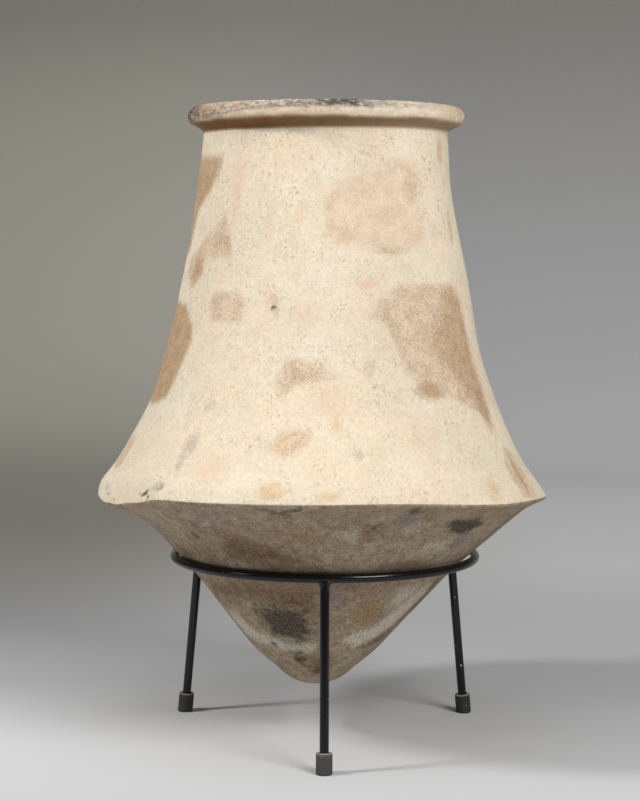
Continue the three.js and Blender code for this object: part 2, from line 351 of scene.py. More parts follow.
def wander(heights):
    """The middle line's sideways drift at each height over the tip."""
    at, drift = np.array(WANDER, float).T
    at = at * URN_HEIGHT
    slope = np.diff(drift) / np.diff(at)
    lean = np.concatenate([slope[:1], (slope[1:] + slope[:-1]) / 2, slope[-1:]])
    i = np.clip(np.searchsorted(at, heights) - 1, 0, len(at) - 2)
    span = at[i + 1] - at[i]
    t = (heights - at[i]) / span
    leave = (2 * t**3 - 3 * t**2 + 1) * drift[i] + (t**3 - 2 * t**2 + t) * span * lean[i]
    arrive = (3 * t**2 - 2 * t**3) * drift[i + 1] + (t**3 - t**2) * span * lean[i + 1]
    return leave + arrive


def seat_height(outline, rod, ring):
    """The height over the tip at which the ring of that rod and radius would touch a true round urn."""
    wall_points = at_marks(outline, np.arange(0, run_of(outline)[-1], 0.25))
    across = wall_points[:, 0] - ring
    reach = rod + SEAT_GAP
    near = (wall_points[:, 1] <= KEEL_HEIGHT) & (np.abs(across) <= reach)
    hangs = np.sqrt(reach**2 - across[near] ** 2) - wall_points[near, 1]
    return wall_points[near, 1][np.argmax(hangs)]


def out_of_true(points, seat):
    """Moves points of the true round urn to where the potter's hand left them."""
    x, y, z = points.T
    radius = np.hypot(x, y)
    azimuth = azimuth_of(points)
    from_front = np.radians(turn_between(azimuth, FRONT))
    fade_end = KEEL_HEIGHT + CLIMB_FADES_AT * (NECK_HEIGHT - KEEL_HEIGHT)
    climbs = smooth(z, seat, KEEL_HEIGHT) * (1 - smooth(z, KEEL_HEIGHT, fade_end))
    lift = climbs * (KEEL_CLIMB * np.cos(from_front) + KEEL_SADDLE * (1 + np.cos(2 * from_front)))
    swell = SEAT_FULLNESS * bell(z - seat, SEAT_SPREAD) * np.cos(from_front) ** 2
    for lumps, lump_height in ((KEEL_LUMPS, LUMP_HEIGHT), (FINE_LUMPS, FINE_LUMP_HEIGHT)):
        for lump_azimuth, reach, above, lump_lift, lump_swell in lumps:
            across = about(azimuth, lump_azimuth, reach)
            share = across * bell(z - KEEL_HEIGHT - above, lump_height)
            lift += lump_lift * share
            swell += lump_swell * share
    grown = 1 + swell / np.maximum(radius, 1)
    return np.column_stack([x * grown + wander(z), y * grown, z + lift])


# Outlines that two kinds of stain share, as azimuth in degrees and height over the floor
LEFT_SQUARE = ((-138, 514), (-124, 515), (-121, 499), (-123, 484), (-136, 481), (-139, 499))
MIDDLE_PATCH = ((-106, 428), (-104, 440), (-99, 446), (-91, 435), (-87, 424), (-95, 420), (-100, 418),
                (-103, 404), (-106, 416))
LOW_PATCH = ((-102, 371), (-94, 372), (-94, 362), (-98, 348), (-101, 344), (-106, 352))

# Worn and stained places on the urn, each with how strong it is, how softly it ends in millimetres,
# and its outline of azimuth in degrees and height over the floor
PATCHES = {
    "tan": (
        (0.8, 10, ((-92, 610), (-86, 637), (-78, 644), (-67, 650), (-57, 663), (-46, 663), (-42, 646),
                   (-44, 624), (-48, 605), (-45, 587), (-43, 569), (-50, 560), (-61, 554), (-76, 560),
                   (-84, 566), (-90, 576), (-91, 592))),
        (1.0, 8, ((-73, 488), (-64, 508), (-62, 523), (-45, 524), (-34, 524), (-27, 516), (-24, 500),
                  (-25, 468), (-21, 434), (-20, 414), (-21, 394), (-25, 374), (-31, 384), (-38, 399),
                  (-44, 408), (-52, 402), (-55, 405), (-61, 432), (-65, 468), (-68, 480))),
        (1.0, 6, ((-137, 603), (-133, 578), (-130, 552), (-148, 552), (-147, 534), (-160, 526), (-163, 548),
                  (-153, 562), (-145, 582))),
        (0.95, 6, LEFT_SQUARE),
        (1.0, 6, MIDDLE_PATCH),
        (0.8, 12, ((40, 600), (62, 622), (84, 606), (92, 560), (74, 540), (48, 556))),
        (1.0, 9, ((96, 470), (112, 486), (140, 476), (146, 430), (128, 392), (104, 398))),
        (0.9, 8, ((150, 640), (166, 652), (176, 626), (170, 590), (156, 584), (146, 606))),
    ),
    "brown": (
        (1.0, 6, ((-73, 488), (-70, 507), (-61, 522), (-45, 523), (-31, 521), (-28, 504), (-25, 482),
                  (-24, 450), (-23, 412), (-24, 384), (-27, 368), (-31, 382), (-37, 388), (-45, 402),
                  (-52, 401), (-57, 408), (-61, 428), (-65, 460), (-68, 482))),
        (1.0, 6, ((-137, 600), (-133, 578), (-130, 553), (-147, 553), (-147, 534), (-160, 526), (-163, 548),
                  (-153, 562), (-145, 582))),
        (0.85, 6, LEFT_SQUARE),
        (1.0, 6, MIDDLE_PATCH),
        (0.9, 6, LOW_PATCH),
        (1.0, 4, ((-26, 342), (-20, 337), (-19, 318), (-20, 298), (-23, 287), (-31, 290), (-31, 310),
                  (-30, 326))),
        (1.0, 6, ((-175, 505), (-156, 498), (-152, 487), (-146, 472), (-145, 459), (-147, 448), (-149, 434),
                  (-150, 420), (-153, 396), (-165, 386), (-178, 390), (-188, 404), (-196, 432), (-198, 464),
                  (-188, 492))),
        (1.0, 6, ((-175, 668), (-143, 662), (-142, 650), (-150, 628), (-162, 600), (-166, 560), (-176, 548),
                  (-188, 558), (-197, 588), (-199, 624), (-190, 654))),
        (0.9, 4, ((-165, 352), (-162, 349), (-160, 320), (-163, 314), (-172, 318), (-172, 350))),
        (0.9, 12, ((100, 466), (114, 480), (136, 470), (140, 432), (124, 404), (108, 410))),
        (1.0, 8, ((20, 378), (34, 392), (46, 372), (40, 340), (26, 330), (16, 350))),
        (1.0, 7, ((4, 560), (18, 572), (26, 548), (22, 500), (10, 470), (2, 500))),
        (1.0, 6, ((62, 400), (76, 408), (82, 390), (72, 374), (60, 380))),
        (1.0, 7, ((98, 612), (116, 620), (124, 590), (118, 552), (104, 560))),
        (0.9, 6, ((156, 360), (170, 372), (178, 350), (166, 334), (152, 340))),
    ),
    "deep": (
        (0.7, 12, ((-42, 500), (-38, 520), (-31, 521), (-27, 500), (-24, 460), (-23, 412), (-24, 384),
                   (-27, 368), (-32, 384), (-38, 398), (-40, 420), (-48, 444), (-48, 470))),
        (1.0, 6, ((-175, 503), (-156, 498), (-146, 472), (-147, 448), (-150, 420), (-153, 396), (-165, 386),
                  (-178, 392), (-187, 410), (-190, 440), (-186, 478))),
        (1.0, 9, ((-175, 664), (-143, 662), (-150, 628), (-162, 600), (-166, 560), (-176, 552), (-187, 570),
                  (-191, 600), (-188, 640))),
        (0.8, 10, ((104, 456), (116, 470), (134, 460), (136, 436), (124, 414), (110, 420))),
    ),
    "ochre": (
        (0.5, 7, LOW_PATCH),
        (0.9, 8, ((-77, 168), (-72, 173), (-63, 173), (-58, 165), (-56, 151), (-64, 143), (-74, 146))),
    ),
    "rust": (
        (0.75, 11, ((-156, 188), (-134, 198), (-116, 200), (-92, 198), (-92, 163), (-97, 155), (-104, 164),
                   (-121, 171), (-144, 169), (-156, 172))),
        (0.85, 9, ((-125, 242), (-121, 253), (-115, 255), (-110, 246), (-104, 244), (-104, 231), (-109, 223),
                  (-117, 224), (-123, 230))),
        (0.8, 6, ((-113, 226), (-102, 224), (-88, 220), (-88, 213), (-99, 214), (-111, 216))),
        (0.7, 6, ((-115, 91), (-94, 105), (-90, 83), (-109, 73))),
        (0.8, 12, ((10, 240), (40, 268), (66, 250), (60, 222), (24, 216))),
    ),
    "dark": (
        (0.9, 14, ((-128, 160), (-118, 170), (-109, 171), (-101, 162), (-95, 142), (-98, 128), (-110, 122),
                   (-122, 127), (-127, 141))),
        (0.7, 6, ((-120, 107), (-109, 111), (-102, 104), (-108, 89), (-120, 91))),
        (1.0, 7, ((-54, 270), (-52, 274), (-48, 272), (-42, 271), (-38, 262), (-41, 255), (-46, 253),
                  (-51, 259))),
        (0.85, 4, ((-107, 294), (-101, 289), (-96, 296), (-95, 292), (-99, 286), (-102, 283), (-105, 288))),
        (0.7, 5, ((-70, 290), (-67, 294), (-64, 288), (-65, 282), (-68, 283))),
        (0.7, 10, ((120, 150), (138, 168), (152, 150), (144, 124), (126, 128))),
    ),
    "pale": (
        (0.9, 7, ((-161, 149), (-147, 151), (-140, 134), (-130, 128), (-116, 118), (-98, 120), (-98, 110),
                  (-118, 107), (-139, 112), (-158, 120))),
        (0.75, 9, ((-57, 180), (-54, 190), (-48, 192), (-40, 184), (-46, 164), (-54, 166))),
        (1.0, 6, ((-78, 125), (-69, 132), (-55, 138), (-47, 156), (-42, 175), (-37, 188), (-31, 184),
                  (-28, 174), (-32, 155), (-36, 135), (-48, 122), (-64, 113))),
    ),
}

# Smaller spots: strength, azimuth, height over the floor, half width, half height, lean to the right
SPOTS = {
    "tan": (
        (0.7, -110, 503, 9, 15, -4),
        (0.7, -24, 667, 9, 16, 0),
        (0.8, -22, 587, 5, 20, 4),
        (0.6, -49, 346, 5, 5, 0),
        (0.8, -27, 318, 6, 24, 9),
        (0.5, -147, 344, 8, 9, 0),
        (0.6, 74, 440, 14, 20, 4),
    ),
    "brown": (
        (0.6, -64, 559, 18, 5, 0),
        (0.8, -109, 502, 5, 15, -3),
        (1.0, -23, 587, 6, 20, 3),
        (0.8, -25, 672, 9, 16, 0),
        (0.6, -9, 470, 5, 34, 0),
        (0.6, -43.5, 304, 8, 12, 2),
        (0.6, -29, 300, 4, 14, 4),
        (0.7, -25, 335, 5, 12, 3),
        (0.5, -88, 305, 6, 4, 0),
    ),
    "deep": (
        (1.0, -27, 440, 6, 74, -6),
        (0.85, -54, 409, 20, 10, 0),
        (1.0, -28, 386, 12, 24, 0),
        (1.0, -25, 314, 5, 24, 6),
        (0.4, -136, 568, 12, 16, 0),
        (0.45, -50, 628, 14, 22, 0),
        (0.35, -85, 576, 20, 12, 0),
        (0.4, -63, 561, 24, 6, 0),
        (0.3, -46, 604, 8, 34, 0),
        (0.3, -88, 604, 9, 24, 0),
        (1.0, -152, 535, 12, 16, 6),
        (0.3, -100, 426, 8, 8, 0),
    ),
    "peach": (
        (0.8, -154, 284, 12, 3, 0),
        (0.65, -131, 628, 9, 40, 0),
        (0.55, -113, 590, 6, 22, 0),
        (0.5, -100, 601, 8, 16, 4),
        (0.8, -74, 525, 13, 6, 0),
        (0.6, -144, 322, 7, 6, 2),
        (0.6, -97, 492, 16, 12, 0),
        (0.55, -88, 400, 30, 20, 0),
        (0.5, -60, 360, 22, 30, 0),
        (0.5, -120, 330, 24, 16, 0),
        (0.7, 60, 500, 20, 30, 0),
        (0.7, 138, 560, 10, 34, 3),
        (0.6, 90, 330, 30, 14, 0),
        (0.6, 10, 400, 16, 24, 0),
    ),
    "grey": (
        (0.8, -130, 352, 11, 14, 0),
        (0.7, -131, 334, 6, 14, -3),
        (0.6, -128, 392, 8, 8, 3),
        (0.7, -81, 347, 8, 6, 0),
        (0.9, -135, 308, 8, 6, 3),
        (0.6, -75, 436, 10, 14, 2),
        (0.6, -161, 296, 10, 5, 0),
        (0.7, -68, 276, 16, 9, 2),
        (0.8, -41, 244, 14, 8, 2),
        (0.7, -86, 182, 16, 16, 0),
        (0.6, -122, 276, 22, 8, -8),
        (0.8, 112, 336, 9, 13, 2),
        (0.7, 40, 440, 8, 8, 0),
        (0.8, 160, 300, 12, 8, 3),
        (0.6, 100, 230, 20, 10, 0),
    ),
    "dark": (
        (1.0, -138.5, 300, 3, 5, 4),
        (1.0, -136.7, 294, 2.5, 4, -2),
        (0.6, -158, 290, 7, 1.6, -1),
        (0.6, -152.5, 286.5, 4, 1.4, 0),
        (0.5, -133.5, 307, 5, 5, 3),
        (0.5, -73, 256, 7, 4, 0),
        (0.9, -109.5, 498, 3, 3, 0),
        (0.8, -129, 116, 5, 4, 0),
        (0.5, -134, 250, 7, 6, 0),
        (0.2, -145, 266, 18, 12, 0),
        (0.6, -96, 82, 12, 8, 0),
        (0.4, -29, 250, 4, 16, 8),
        (0.45, -76, 270, 8, 8, 0),
        (0.35, -128, 396, 3, 3, 0),
        (0.8, -81, 441, 1.4, 1.4, 0),
        (0.7, -50.5, 634, 1.6, 1.6, 0),
        (0.3, -28.5, 392, 5, 22, -5),
        (0.9, 152, 420, 2.5, 3, 0),
        (0.5, 60, 262, 16, 8, 0),
        (0.7, 28, 300, 5, 3, 2),
    ),
    "rust": (
        (0.6, -106, 229, 30, 10, 0),
        (0.3, -131, 268, 26, 8, -12),
        (0.3, -125, 258, 26, 7, -12),
        (0.5, -76, 262, 14, 12, 0),
        (0.6, -60, 219, 40, 7, 0),
        (0.6, -78, 196, 14, 6, 0),
        (0.9, -29, 180, 8, 18, 8),
        (0.8, -24, 160, 8, 22, 8),
        (0.7, -44, 118, 18, 9, 8),
        (0.8, -90, 96, 12, 10, 0),
        (0.6, -23, 244, 6, 22, 10),
        (0.6, -150, 218, 14, 12, 0),
        (0.7, 170, 240, 30, 14, 0),
        (0.7, 96, 180, 34, 14, 4),
        (0.7, 20, 120, 24, 12, 0),
    ),
    "ochre": (
        (0.9, -103, 311, 16, 10, 0),
        (0.8, -89, 306, 12, 6, 0),
        (0.8, -86.6, 378, 6, 9, 0),
        (0.8, -43, 303, 10, 14, 2),
        (0.7, -140, 138, 9, 14, -6),
        (0.5, -114, 206, 30, 10, 0),
        (0.4, -98, 263, 20, 12, 0),
        (0.5, -144, 176, 16, 12, 0),
        (0.8, 84, 312, 14, 9, 0),
        (0.8, 128, 308, 10, 8, 0),
        (0.7, 6, 306, 12, 9, 0),
        (0.7, 80, 150, 16, 12, 0),
    ),
    "pale": (
        (0.5, -40, 208, 30, 12, 6),
        (0.4, -122, 214, 24, 7, -6),
        (0.5, -52, 240, 20, 10, 0),
        (0.3, -84, 263, 16, 10, 0),
        (0.8, 60, 130, 30, 10, 6),
        (0.7, 120, 214, 34, 10, -6),
    ),
}
STAINS = ("tan", "brown", "deep", "peach", "grey", "dark", "rust", "ochre", "pale")


def inside_outline_of(points, corners):
    """How far inside a closed outline each point lies, in the points' units, and below 0 outside."""
    nearest = np.full(len(points), np.inf)
    within = np.zeros(len(points), bool)
    for start, end in zip(corners, np.roll(corners, -1, axis=0)):
        way = end - start
        share = np.clip(((points - start) @ way) / (way @ way), 0, 1)
        nearest = np.minimum(nearest, np.hypot(*(points - start - share[:, None] * way).T))
        crosses = (start[1] > points[:, 1]) != (end[1] > points[:, 1])
        rise = way[1] if way[1] else 1e-9
        within ^= crosses & (points[:, 0] < start[0] + (points[:, 1] - start[1]) / rise * way[0])
    return np.where(within, nearest, -nearest)


def stain_masks(places):
    """How strong each kind of stain is at each place, given in millimetres over the floor."""
    x, y, height = places.T
    azimuth = azimuth_of(places)
    radius = np.hypot(x, y)
    masks = {kind: np.zeros(len(places)) for kind in STAINS}
    for kind, patches in PATCHES.items():
        for strength, soft, outline in patches:
            corners = np.array(outline, float)
            middle = corners.mean(0)
            local = np.radians(1) * radius[np.abs(height - middle[1]) < 30].mean()
            flat = np.column_stack([turn_between(azimuth, middle[0]) * local, height])
            corners[:, 0] = turn_between(corners[:, 0], middle[0]) * local
            inner = 0.5 + inside_outline_of(flat, corners) / (2 * soft)
            masks[kind] = np.maximum(masks[kind], strength * np.clip(inner, 0, 1))
    for kind, spots in SPOTS.items():
        for strength, spot_azimuth, spot_height, wide, tall, lean in spots:
            up = height - spot_height
            across = np.radians(turn_between(azimuth, spot_azimuth)) * radius - lean * up / tall
            far = np.hypot(across / wide, up / tall)
            masks[kind] = np.maximum(masks[kind], strength * (1 - smooth(far, 0.3, 1.7)))
    return masks


def read_places(mesh):
    """A mesh's vertices as millimetres."""
    flat = np.zeros(len(mesh.vertices) * 3)
    mesh.vertices.foreach_get("co", flat)
    return flat.reshape(-1, 3) / MM


def write_places(mesh, places):
    """Sets a mesh's vertices from millimetres."""
    mesh.vertices.foreach_set("co", (places * MM).ravel())
    mesh.update()


def write_mask(mesh, name, values):
    """Stores a number from 0 to 1 at each vertex, for the shader."""
    attribute = mesh.attributes.new(name, "FLOAT", "POINT")
    attribute.data.foreach_set("value", values.astype(np.float32))


def read_layer(mesh, name):
    """Reads a number that was stored at each vertex."""
    values = np.zeros(len(mesh.vertices), np.float32)
    mesh.attributes[name].data.foreach_get("value", values)
    return values


def finish_piece(shape, name, material, slot, *nodes):
    """Makes a finished piece of a bmesh, riding on the one body, in the place of CAD nodes."""
    mesh = bpy.data.meshes.new(name)
    shape.to_mesh(mesh)
    shape.free()
    mesh.materials.append(material)
    mesh.shade_smooth()
    piece = bpy.data.objects.new(name, mesh)
    bpy.context.scene.collection.objects.link(piece)
    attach(piece, "root")
    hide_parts(*nodes)
    return piece


def turned(outline, steps, layers=None, closed=False):
    """Turns an outline of radius and height about the upright axis. Layers are numbers along it."""
    shape = bmesh.new()
    stored = {name: shape.verts.layers.float.new(name) for name in layers or {}}
    verts = []
    for i, (radius, height) in enumerate(outline):
        vert = shape.verts.new((radius * MM, 0, height * MM))
        for name, layer in stored.items():
            vert[layer] = layers[name][i]
        verts.append(vert)
    ends = verts[1:] + verts[:1] if closed else verts[1:]
    edges = [shape.edges.new(pair) for pair in zip(verts, ends)]
    bmesh.ops.spin(
        shape,
        geom=[*verts, *edges],
        cent=(0, 0, 0),
        axis=(0, 0, 1),
        dvec=(0, 0, 0),
        angle=math.tau,
        steps=steps,
        use_merge=True,
        use_normal_flip=False,
        use_duplicate=False,
    )
    bmesh.ops.remove_doubles(shape, verts=shape.verts, dist=1e-6)
    bmesh.ops.recalc_face_normals(shape, faces=shape.faces)
    return shape


class Wiring:
    """Adds nodes to a shader tree and joins them."""

    def __init__(self, tree):
        self.tree = tree

    def feed(self, socket, value):
        if isinstance(value, bpy.types.NodeSocket):
            self.tree.links.new(value, socket)
        elif value is not None:
            socket.default_value = value

    def add(self, kind, inputs=None, **settings):
        node = self.tree.nodes.new(kind)
        for name, value in settings.items():
            setattr(node, name, value)
        for name, value in (inputs or {}).items():
            self.feed(node.inputs[name], value)
        return node

    def math(self, operation, *values, clamp=False):
        node = self.add("ShaderNodeMath", operation=operation, use_clamp=clamp)
        for socket, value in zip(node.inputs, values):
            self.feed(socket, value)
        return node.outputs[0]

    def aim(self, operation, *values):
        node = self.add("ShaderNodeVectorMath", operation=operation)
        for socket, value in zip(node.inputs, values):
            self.feed(socket, value)
        return node.outputs[0]

    def blend(self, share, below, above, mode="MIX"):
        node = self.add("ShaderNodeMix", data_type="RGBA", blend_type=mode)
        for index, value in ((0, share), (6, below), (7, above)):
            plain = isinstance(value, (tuple, list)) and len(value) == 3
            self.feed(node.inputs[index], (*value, 1) if plain else value)
        return node.outputs[2]

    def rise(self, value, low, high, start=0.0, end=1.0):
        node = self.add("ShaderNodeMapRange", interpolation_type="SMOOTHSTEP")
        for socket, number in zip(node.inputs, (value, low, high, start, end)):
            self.feed(socket, number)
        return node.outputs[0]

    def cloud(self, place, size, detail=2.0, rough=0.5, offset=0.0):
        """Smooth noise around 0.5 with features of that size in metres."""
        moved = self.aim("ADD", place, (offset, offset * 0.7, offset * 1.3)) if offset else place
        scale = self.math("DIVIDE", 1.0, size) if isinstance(size, bpy.types.NodeSocket) else 1 / size
        inputs = {"Vector": moved, "Scale": scale, "Detail": detail, "Roughness": rough}
        return self.add("ShaderNodeTexNoise", inputs).outputs[0]

    def cells(self, place, size):
        """Distance to the nearest cell's middle, in cell widths, and that cell's own random number."""
        scale = self.math("DIVIDE", 1.0, size) if isinstance(size, bpy.types.NodeSocket) else 1 / size
        node = self.add("ShaderNodeTexVoronoi", {"Vector": place, "Scale": scale})
        chance = self.add("ShaderNodeSeparateColor", {"Color": node.outputs["Color"]}).outputs[0]
        return node.outputs["Distance"], chance

    def mask(self, name):
        return self.add("ShaderNodeAttribute", attribute_name=name).outputs["Fac"]

    def effect(self, tree, **inputs):
        """Places a node group and returns its outputs by name."""
        node = self.add("ShaderNodeGroup", node_tree=tree)
        for name, value in inputs.items():
            self.feed(node.inputs[name.replace("_", " ").capitalize()], value)
        return node.outputs


def new_effect(name, inputs, outputs):
    """Starts a shader node group. Inputs are names with defaults: a number, or a vector for a place."""
    tree = bpy.data.node_groups.new(name, "ShaderNodeTree")
    for label, default in inputs.items():
        kind = "NodeSocketVector" if isinstance(default, tuple) else "NodeSocketFloat"
        tree.interface.new_socket(label, in_out="INPUT", socket_type=kind).default_value = default
    for label in outputs:
        tree.interface.new_socket(label, in_out="OUTPUT", socket_type="NodeSocketFloat")
    wiring = Wiring(tree)
    return wiring, wiring.add("NodeGroupInput").outputs, wiring.add("NodeGroupOutput").inputs


def shared_effect(name, build):
    """Returns the node group of that name, built the first time."""
    return bpy.data.node_groups.get(name) or build(name)


def build_ragged(name):
    """A mask whose edge is broken up by noise of a given size."""
    inputs = {"Place": (0, 0, 0), "Mask": 0.0, "Size": 0.004, "Raggedness": 0.6, "Softness": 0.1}
    wiring, given, result = new_effect(name, inputs, ["Mask"])
    cloud = wiring.cloud(given["Place"], given["Size"], 4, 0.6)
    shift = wiring.math("MULTIPLY", wiring.math("SUBTRACT", cloud, 0.5), given["Raggedness"])
    moved = wiring.math("ADD", given["Mask"], shift)
    low = wiring.math("SUBTRACT", 0.5, given["Softness"])
    high = wiring.math("ADD", 0.5, given["Softness"])
    edge = wiring.rise(moved, low, high)
    wiring.feed(result["Mask"], wiring.math("MULTIPLY", edge, wiring.rise(given["Mask"], 0.0, 0.15)))
    return wiring.tree


def build_grains(name):
    """Sand in a surface: pale, dark and warm grains of a given size, each a round dot."""
    inputs = {"Place": (0, 0, 0), "Size": 0.0013}
    wiring, given, result = new_effect(name, inputs, ["Pale", "Dark", "Warm", "Tone"])
    distance, chance = wiring.cells(given["Place"], given["Size"])
    dot = wiring.rise(distance, 0.3, 0.65, 1.0, 0.0)
    wiring.feed(result["Pale"], wiring.math("MULTIPLY", dot, wiring.rise(chance, 0.78, 0.84)))
    wiring.feed(result["Dark"], wiring.math("MULTIPLY", dot, wiring.rise(chance, 0.22, 0.28, 1.0, 0.0)))
    warm = wiring.math("COMPARE", chance, 0.5, 0.08)
    wiring.feed(result["Warm"], wiring.math("MULTIPLY", dot, warm))
    wiring.feed(result["Tone"], chance)
    return wiring.tree


def build_rootlets(name):
    """Fine curly lines, broken into short lengths, as roots leave them on buried clay."""
    inputs = {"Place": (0, 0, 0), "Size": 0.008, "Width": 0.03, "Share": 0.5}
    wiring, given, result = new_effect(name, inputs, ["Mask"])
    upright = wiring.aim("MULTIPLY", given["Place"], (1.0, 1.0, 0.4))
    level = wiring.cloud(upright, given["Size"], 1.5, 0.6)
    far = wiring.math("ABSOLUTE", wiring.math("SUBTRACT", level, 0.5))
    line = wiring.rise(far, 0.0, given["Width"], 1.0, 0.0)
    gap = wiring.math("SUBTRACT", 1.0, given["Share"])
    breaks = wiring.cloud(given["Place"], wiring.math("MULTIPLY", given["Size"], 0.45), 2, 0.5, 9.0)
    low = wiring.math("MULTIPLY_ADD", gap, 0.3, 0.33)
    present = wiring.rise(breaks, low, wiring.math("ADD", low, 0.05))
    wiring.feed(result["Mask"], wiring.math("MULTIPLY", line, present))
    return wiring.tree


def build_marks(name):
    """Short marks scattered over a surface: thin strokes, or round flecks at a stretch of 1."""
    inputs = {"Place": (0, 0, 0), "Spacing": 0.003, "Width": 0.14, "Stretch": 6.0, "Lean": 0.0, "Share": 0.8}
    wiring, given, result = new_effect(name, inputs, ["Mask"])
    drift = wiring.add("ShaderNodeTexNoise", {"Vector": given["Place"], "Scale": 70.0, "Detail": 1.0})
    drift = wiring.aim("SUBTRACT", drift.outputs["Color"], (0.5, 0.5, 0.5))
    drift = wiring.aim("MULTIPLY", drift, (0.009, 0.009, 0.009))
    bent = wiring.aim("ADD", given["Place"], drift)
    leaning = {"Vector": bent, "Angle": given["Lean"]}
    turn = wiring.add("ShaderNodeVectorRotate", leaning, rotation_type="Y_AXIS")
    low = wiring.math("DIVIDE", 1.0, given["Stretch"])
    squeeze = wiring.add("ShaderNodeCombineXYZ", {"X": 1.0, "Y": 1.0, "Z": low}).outputs[0]
    distance, chance = wiring.cells(wiring.aim("MULTIPLY", turn.outputs[0], squeeze), given["Spacing"])
    thin = wiring.math("MULTIPLY", given["Width"], 0.5)
    stroke = wiring.rise(distance, thin, given["Width"], 1.0, 0.0)
    present = wiring.math("LESS_THAN", chance, given["Share"])
    wiring.feed(result["Mask"], wiring.math("MULTIPLY", stroke, present))
    return wiring.tree


def new_material(name):
    """A material with its wiring, the place on the object, and its surface shader."""
    material = bpy.data.materials.new(name)
    material.use_nodes = True
    material.node_tree.nodes.clear()
    wiring = Wiring(material.node_tree)
    place = wiring.add("ShaderNodeTexCoord").outputs["Object"]
    surface = wiring.add("ShaderNodeBsdfPrincipled")
    out = wiring.add("ShaderNodeOutputMaterial")
    wiring.feed(out.inputs["Surface"], surface.outputs["BSDF"])
    return material, wiring, place, surface


def broken(wiring, place, mask, size, raggedness, softness):
    """A mask whose edge is broken up by noise of that size."""
    group = shared_effect("ragged edge", build_ragged)
    worked = wiring.effect(
        group, place=place, mask=mask, size=size, raggedness=raggedness, softness=softness
    )
    return worked["Mask"]


def worn_tone(wiring, place, grains, light, dark, grain_strength):
    """The colour of a place where the slip has worn off, down to the sandy clay."""
    colour = wiring.blend(wiring.rise(wiring.cloud(place, 0.014, 4, 0.65), 0.35, 0.65), dark, light)
    sands = {"Dark": srgb(112, 84, 60), "Warm": srgb(206, 148, 104), "Pale": srgb(250, 240, 224)}
    for kind, tone in sands.items():
        colour = wiring.blend(wiring.math("MULTIPLY", grains[kind], grain_strength), colour, tone)
    return colour


def slip_colour(wiring, place, masks, grains, settings):
    """The cream slip of the upper body with its tints, rootlet marks and worn places."""
    rootlets = shared_effect("rootlet marks", build_rootlets)
    colour = tuple(settings.slip)
    tints = (
        (0.05, 3.0, srgb(219, 208, 180), 0.55),
        (0.035, 7.0, srgb(246, 215, 190), 0.4),
        (0.07, 11.0, srgb(244, 233, 212), 0.5),
        (0.014, 13.0, srgb(243, 216, 190), 0.25),
        (0.02, 17.0, srgb(220, 210, 184), 0.3),
        (0.006, 19.0, srgb(250, 242, 224), 0.3),
    )
    for size, offset, tone, strength in tints:
        spread = wiring.rise(wiring.cloud(place, size, 4, 0.6, offset), 0.46, 0.66, 0.0, strength)
        colour = wiring.blend(spread, colour, tone)
    fleck = wiring.rise(wiring.cloud(place, 0.0026, 4, 0.85, 1.0), 0.3, 0.7, 0.9, 1.08)
    colour = wiring.blend(1.0, colour, fleck, "MULTIPLY")
    crowd = wiring.rise(wiring.cloud(place, 0.03, 2, 0.5, 5.0), 0.36, 0.6, 0.25, 1.0)
    marks = (
        (0.0075, 0.022, 0.5, 0.5),
        (0.0052, 0.022, 0.4, 0.45),
        (0.011, 0.014, 0.5, 0.6),
    )
    for size, width, share, strength in marks:
        line = wiring.effect(rootlets, place=place, size=size, width=width, share=share)["Mask"]
        strong = wiring.math("MULTIPLY", wiring.math("MULTIPLY", line, crowd), strength)
        colour = wiring.blend(wiring.math("MULTIPLY", strong, settings.rootlets), colour, srgb(128, 110, 86))
    peach = broken(wiring, place, masks["peach"], 0.01, 0.9, 0.45)
    colour = wiring.blend(wiring.math("MULTIPLY", peach, 0.6), colour, srgb(230, 192, 162))
    tan = broken(wiring, place, masks["tan"], 0.007, 1.0, 0.4)
    sand = wiring.rise(wiring.cloud(place, 0.0016, 3, 0.8, 3.0), 0.3, 0.7, 0.84, 1.12)
    tan_tone = worn_tone(wiring, place, grains, srgb(240, 216, 190), srgb(222, 196, 164), 0.3)
    tan_tone = wiring.blend(0.6, tan_tone, sand, "MULTIPLY")
    colour = wiring.blend(wiring.math("MULTIPLY", tan, 0.85), colour, tan_tone)
    brown = broken(wiring, place, masks["brown"], 0.007, 0.9, 0.3)
    brown_tone = worn_tone(wiring, place, grains, srgb(234, 211, 184), srgb(216, 191, 160), 0.5)
    brown_tone = wiring.blend(1.0, brown_tone, sand, "MULTIPLY")
    colour = wiring.blend(wiring.math("MULTIPLY", brown, 0.95), colour, brown_tone)
    deep = broken(wiring, place, masks["deep"], 0.005, 1.1, 0.45)
    colour = wiring.blend(wiring.math("MULTIPLY", deep, 0.75), colour, srgb(212, 195, 170), "MULTIPLY")
    ochre = broken(wiring, place, masks["ochre"], 0.006, 1.0, 0.4)
    ochre_tone = worn_tone(wiring, place, grains, srgb(240, 212, 170), srgb(218, 188, 144), 0.3)
    colour = wiring.blend(wiring.math("MULTIPLY", ochre, 0.8), colour, ochre_tone)
    speck = wiring.rise(wiring.cloud(place, 0.0024, 3, 0.8, 2.0), 0.38, 0.62, 0.2, 0.7)
    grey = wiring.math("MULTIPLY", wiring.rise(masks["grey"], 0.15, 0.9), speck)
    return wiring.blend(grey, colour, srgb(160, 147, 142))


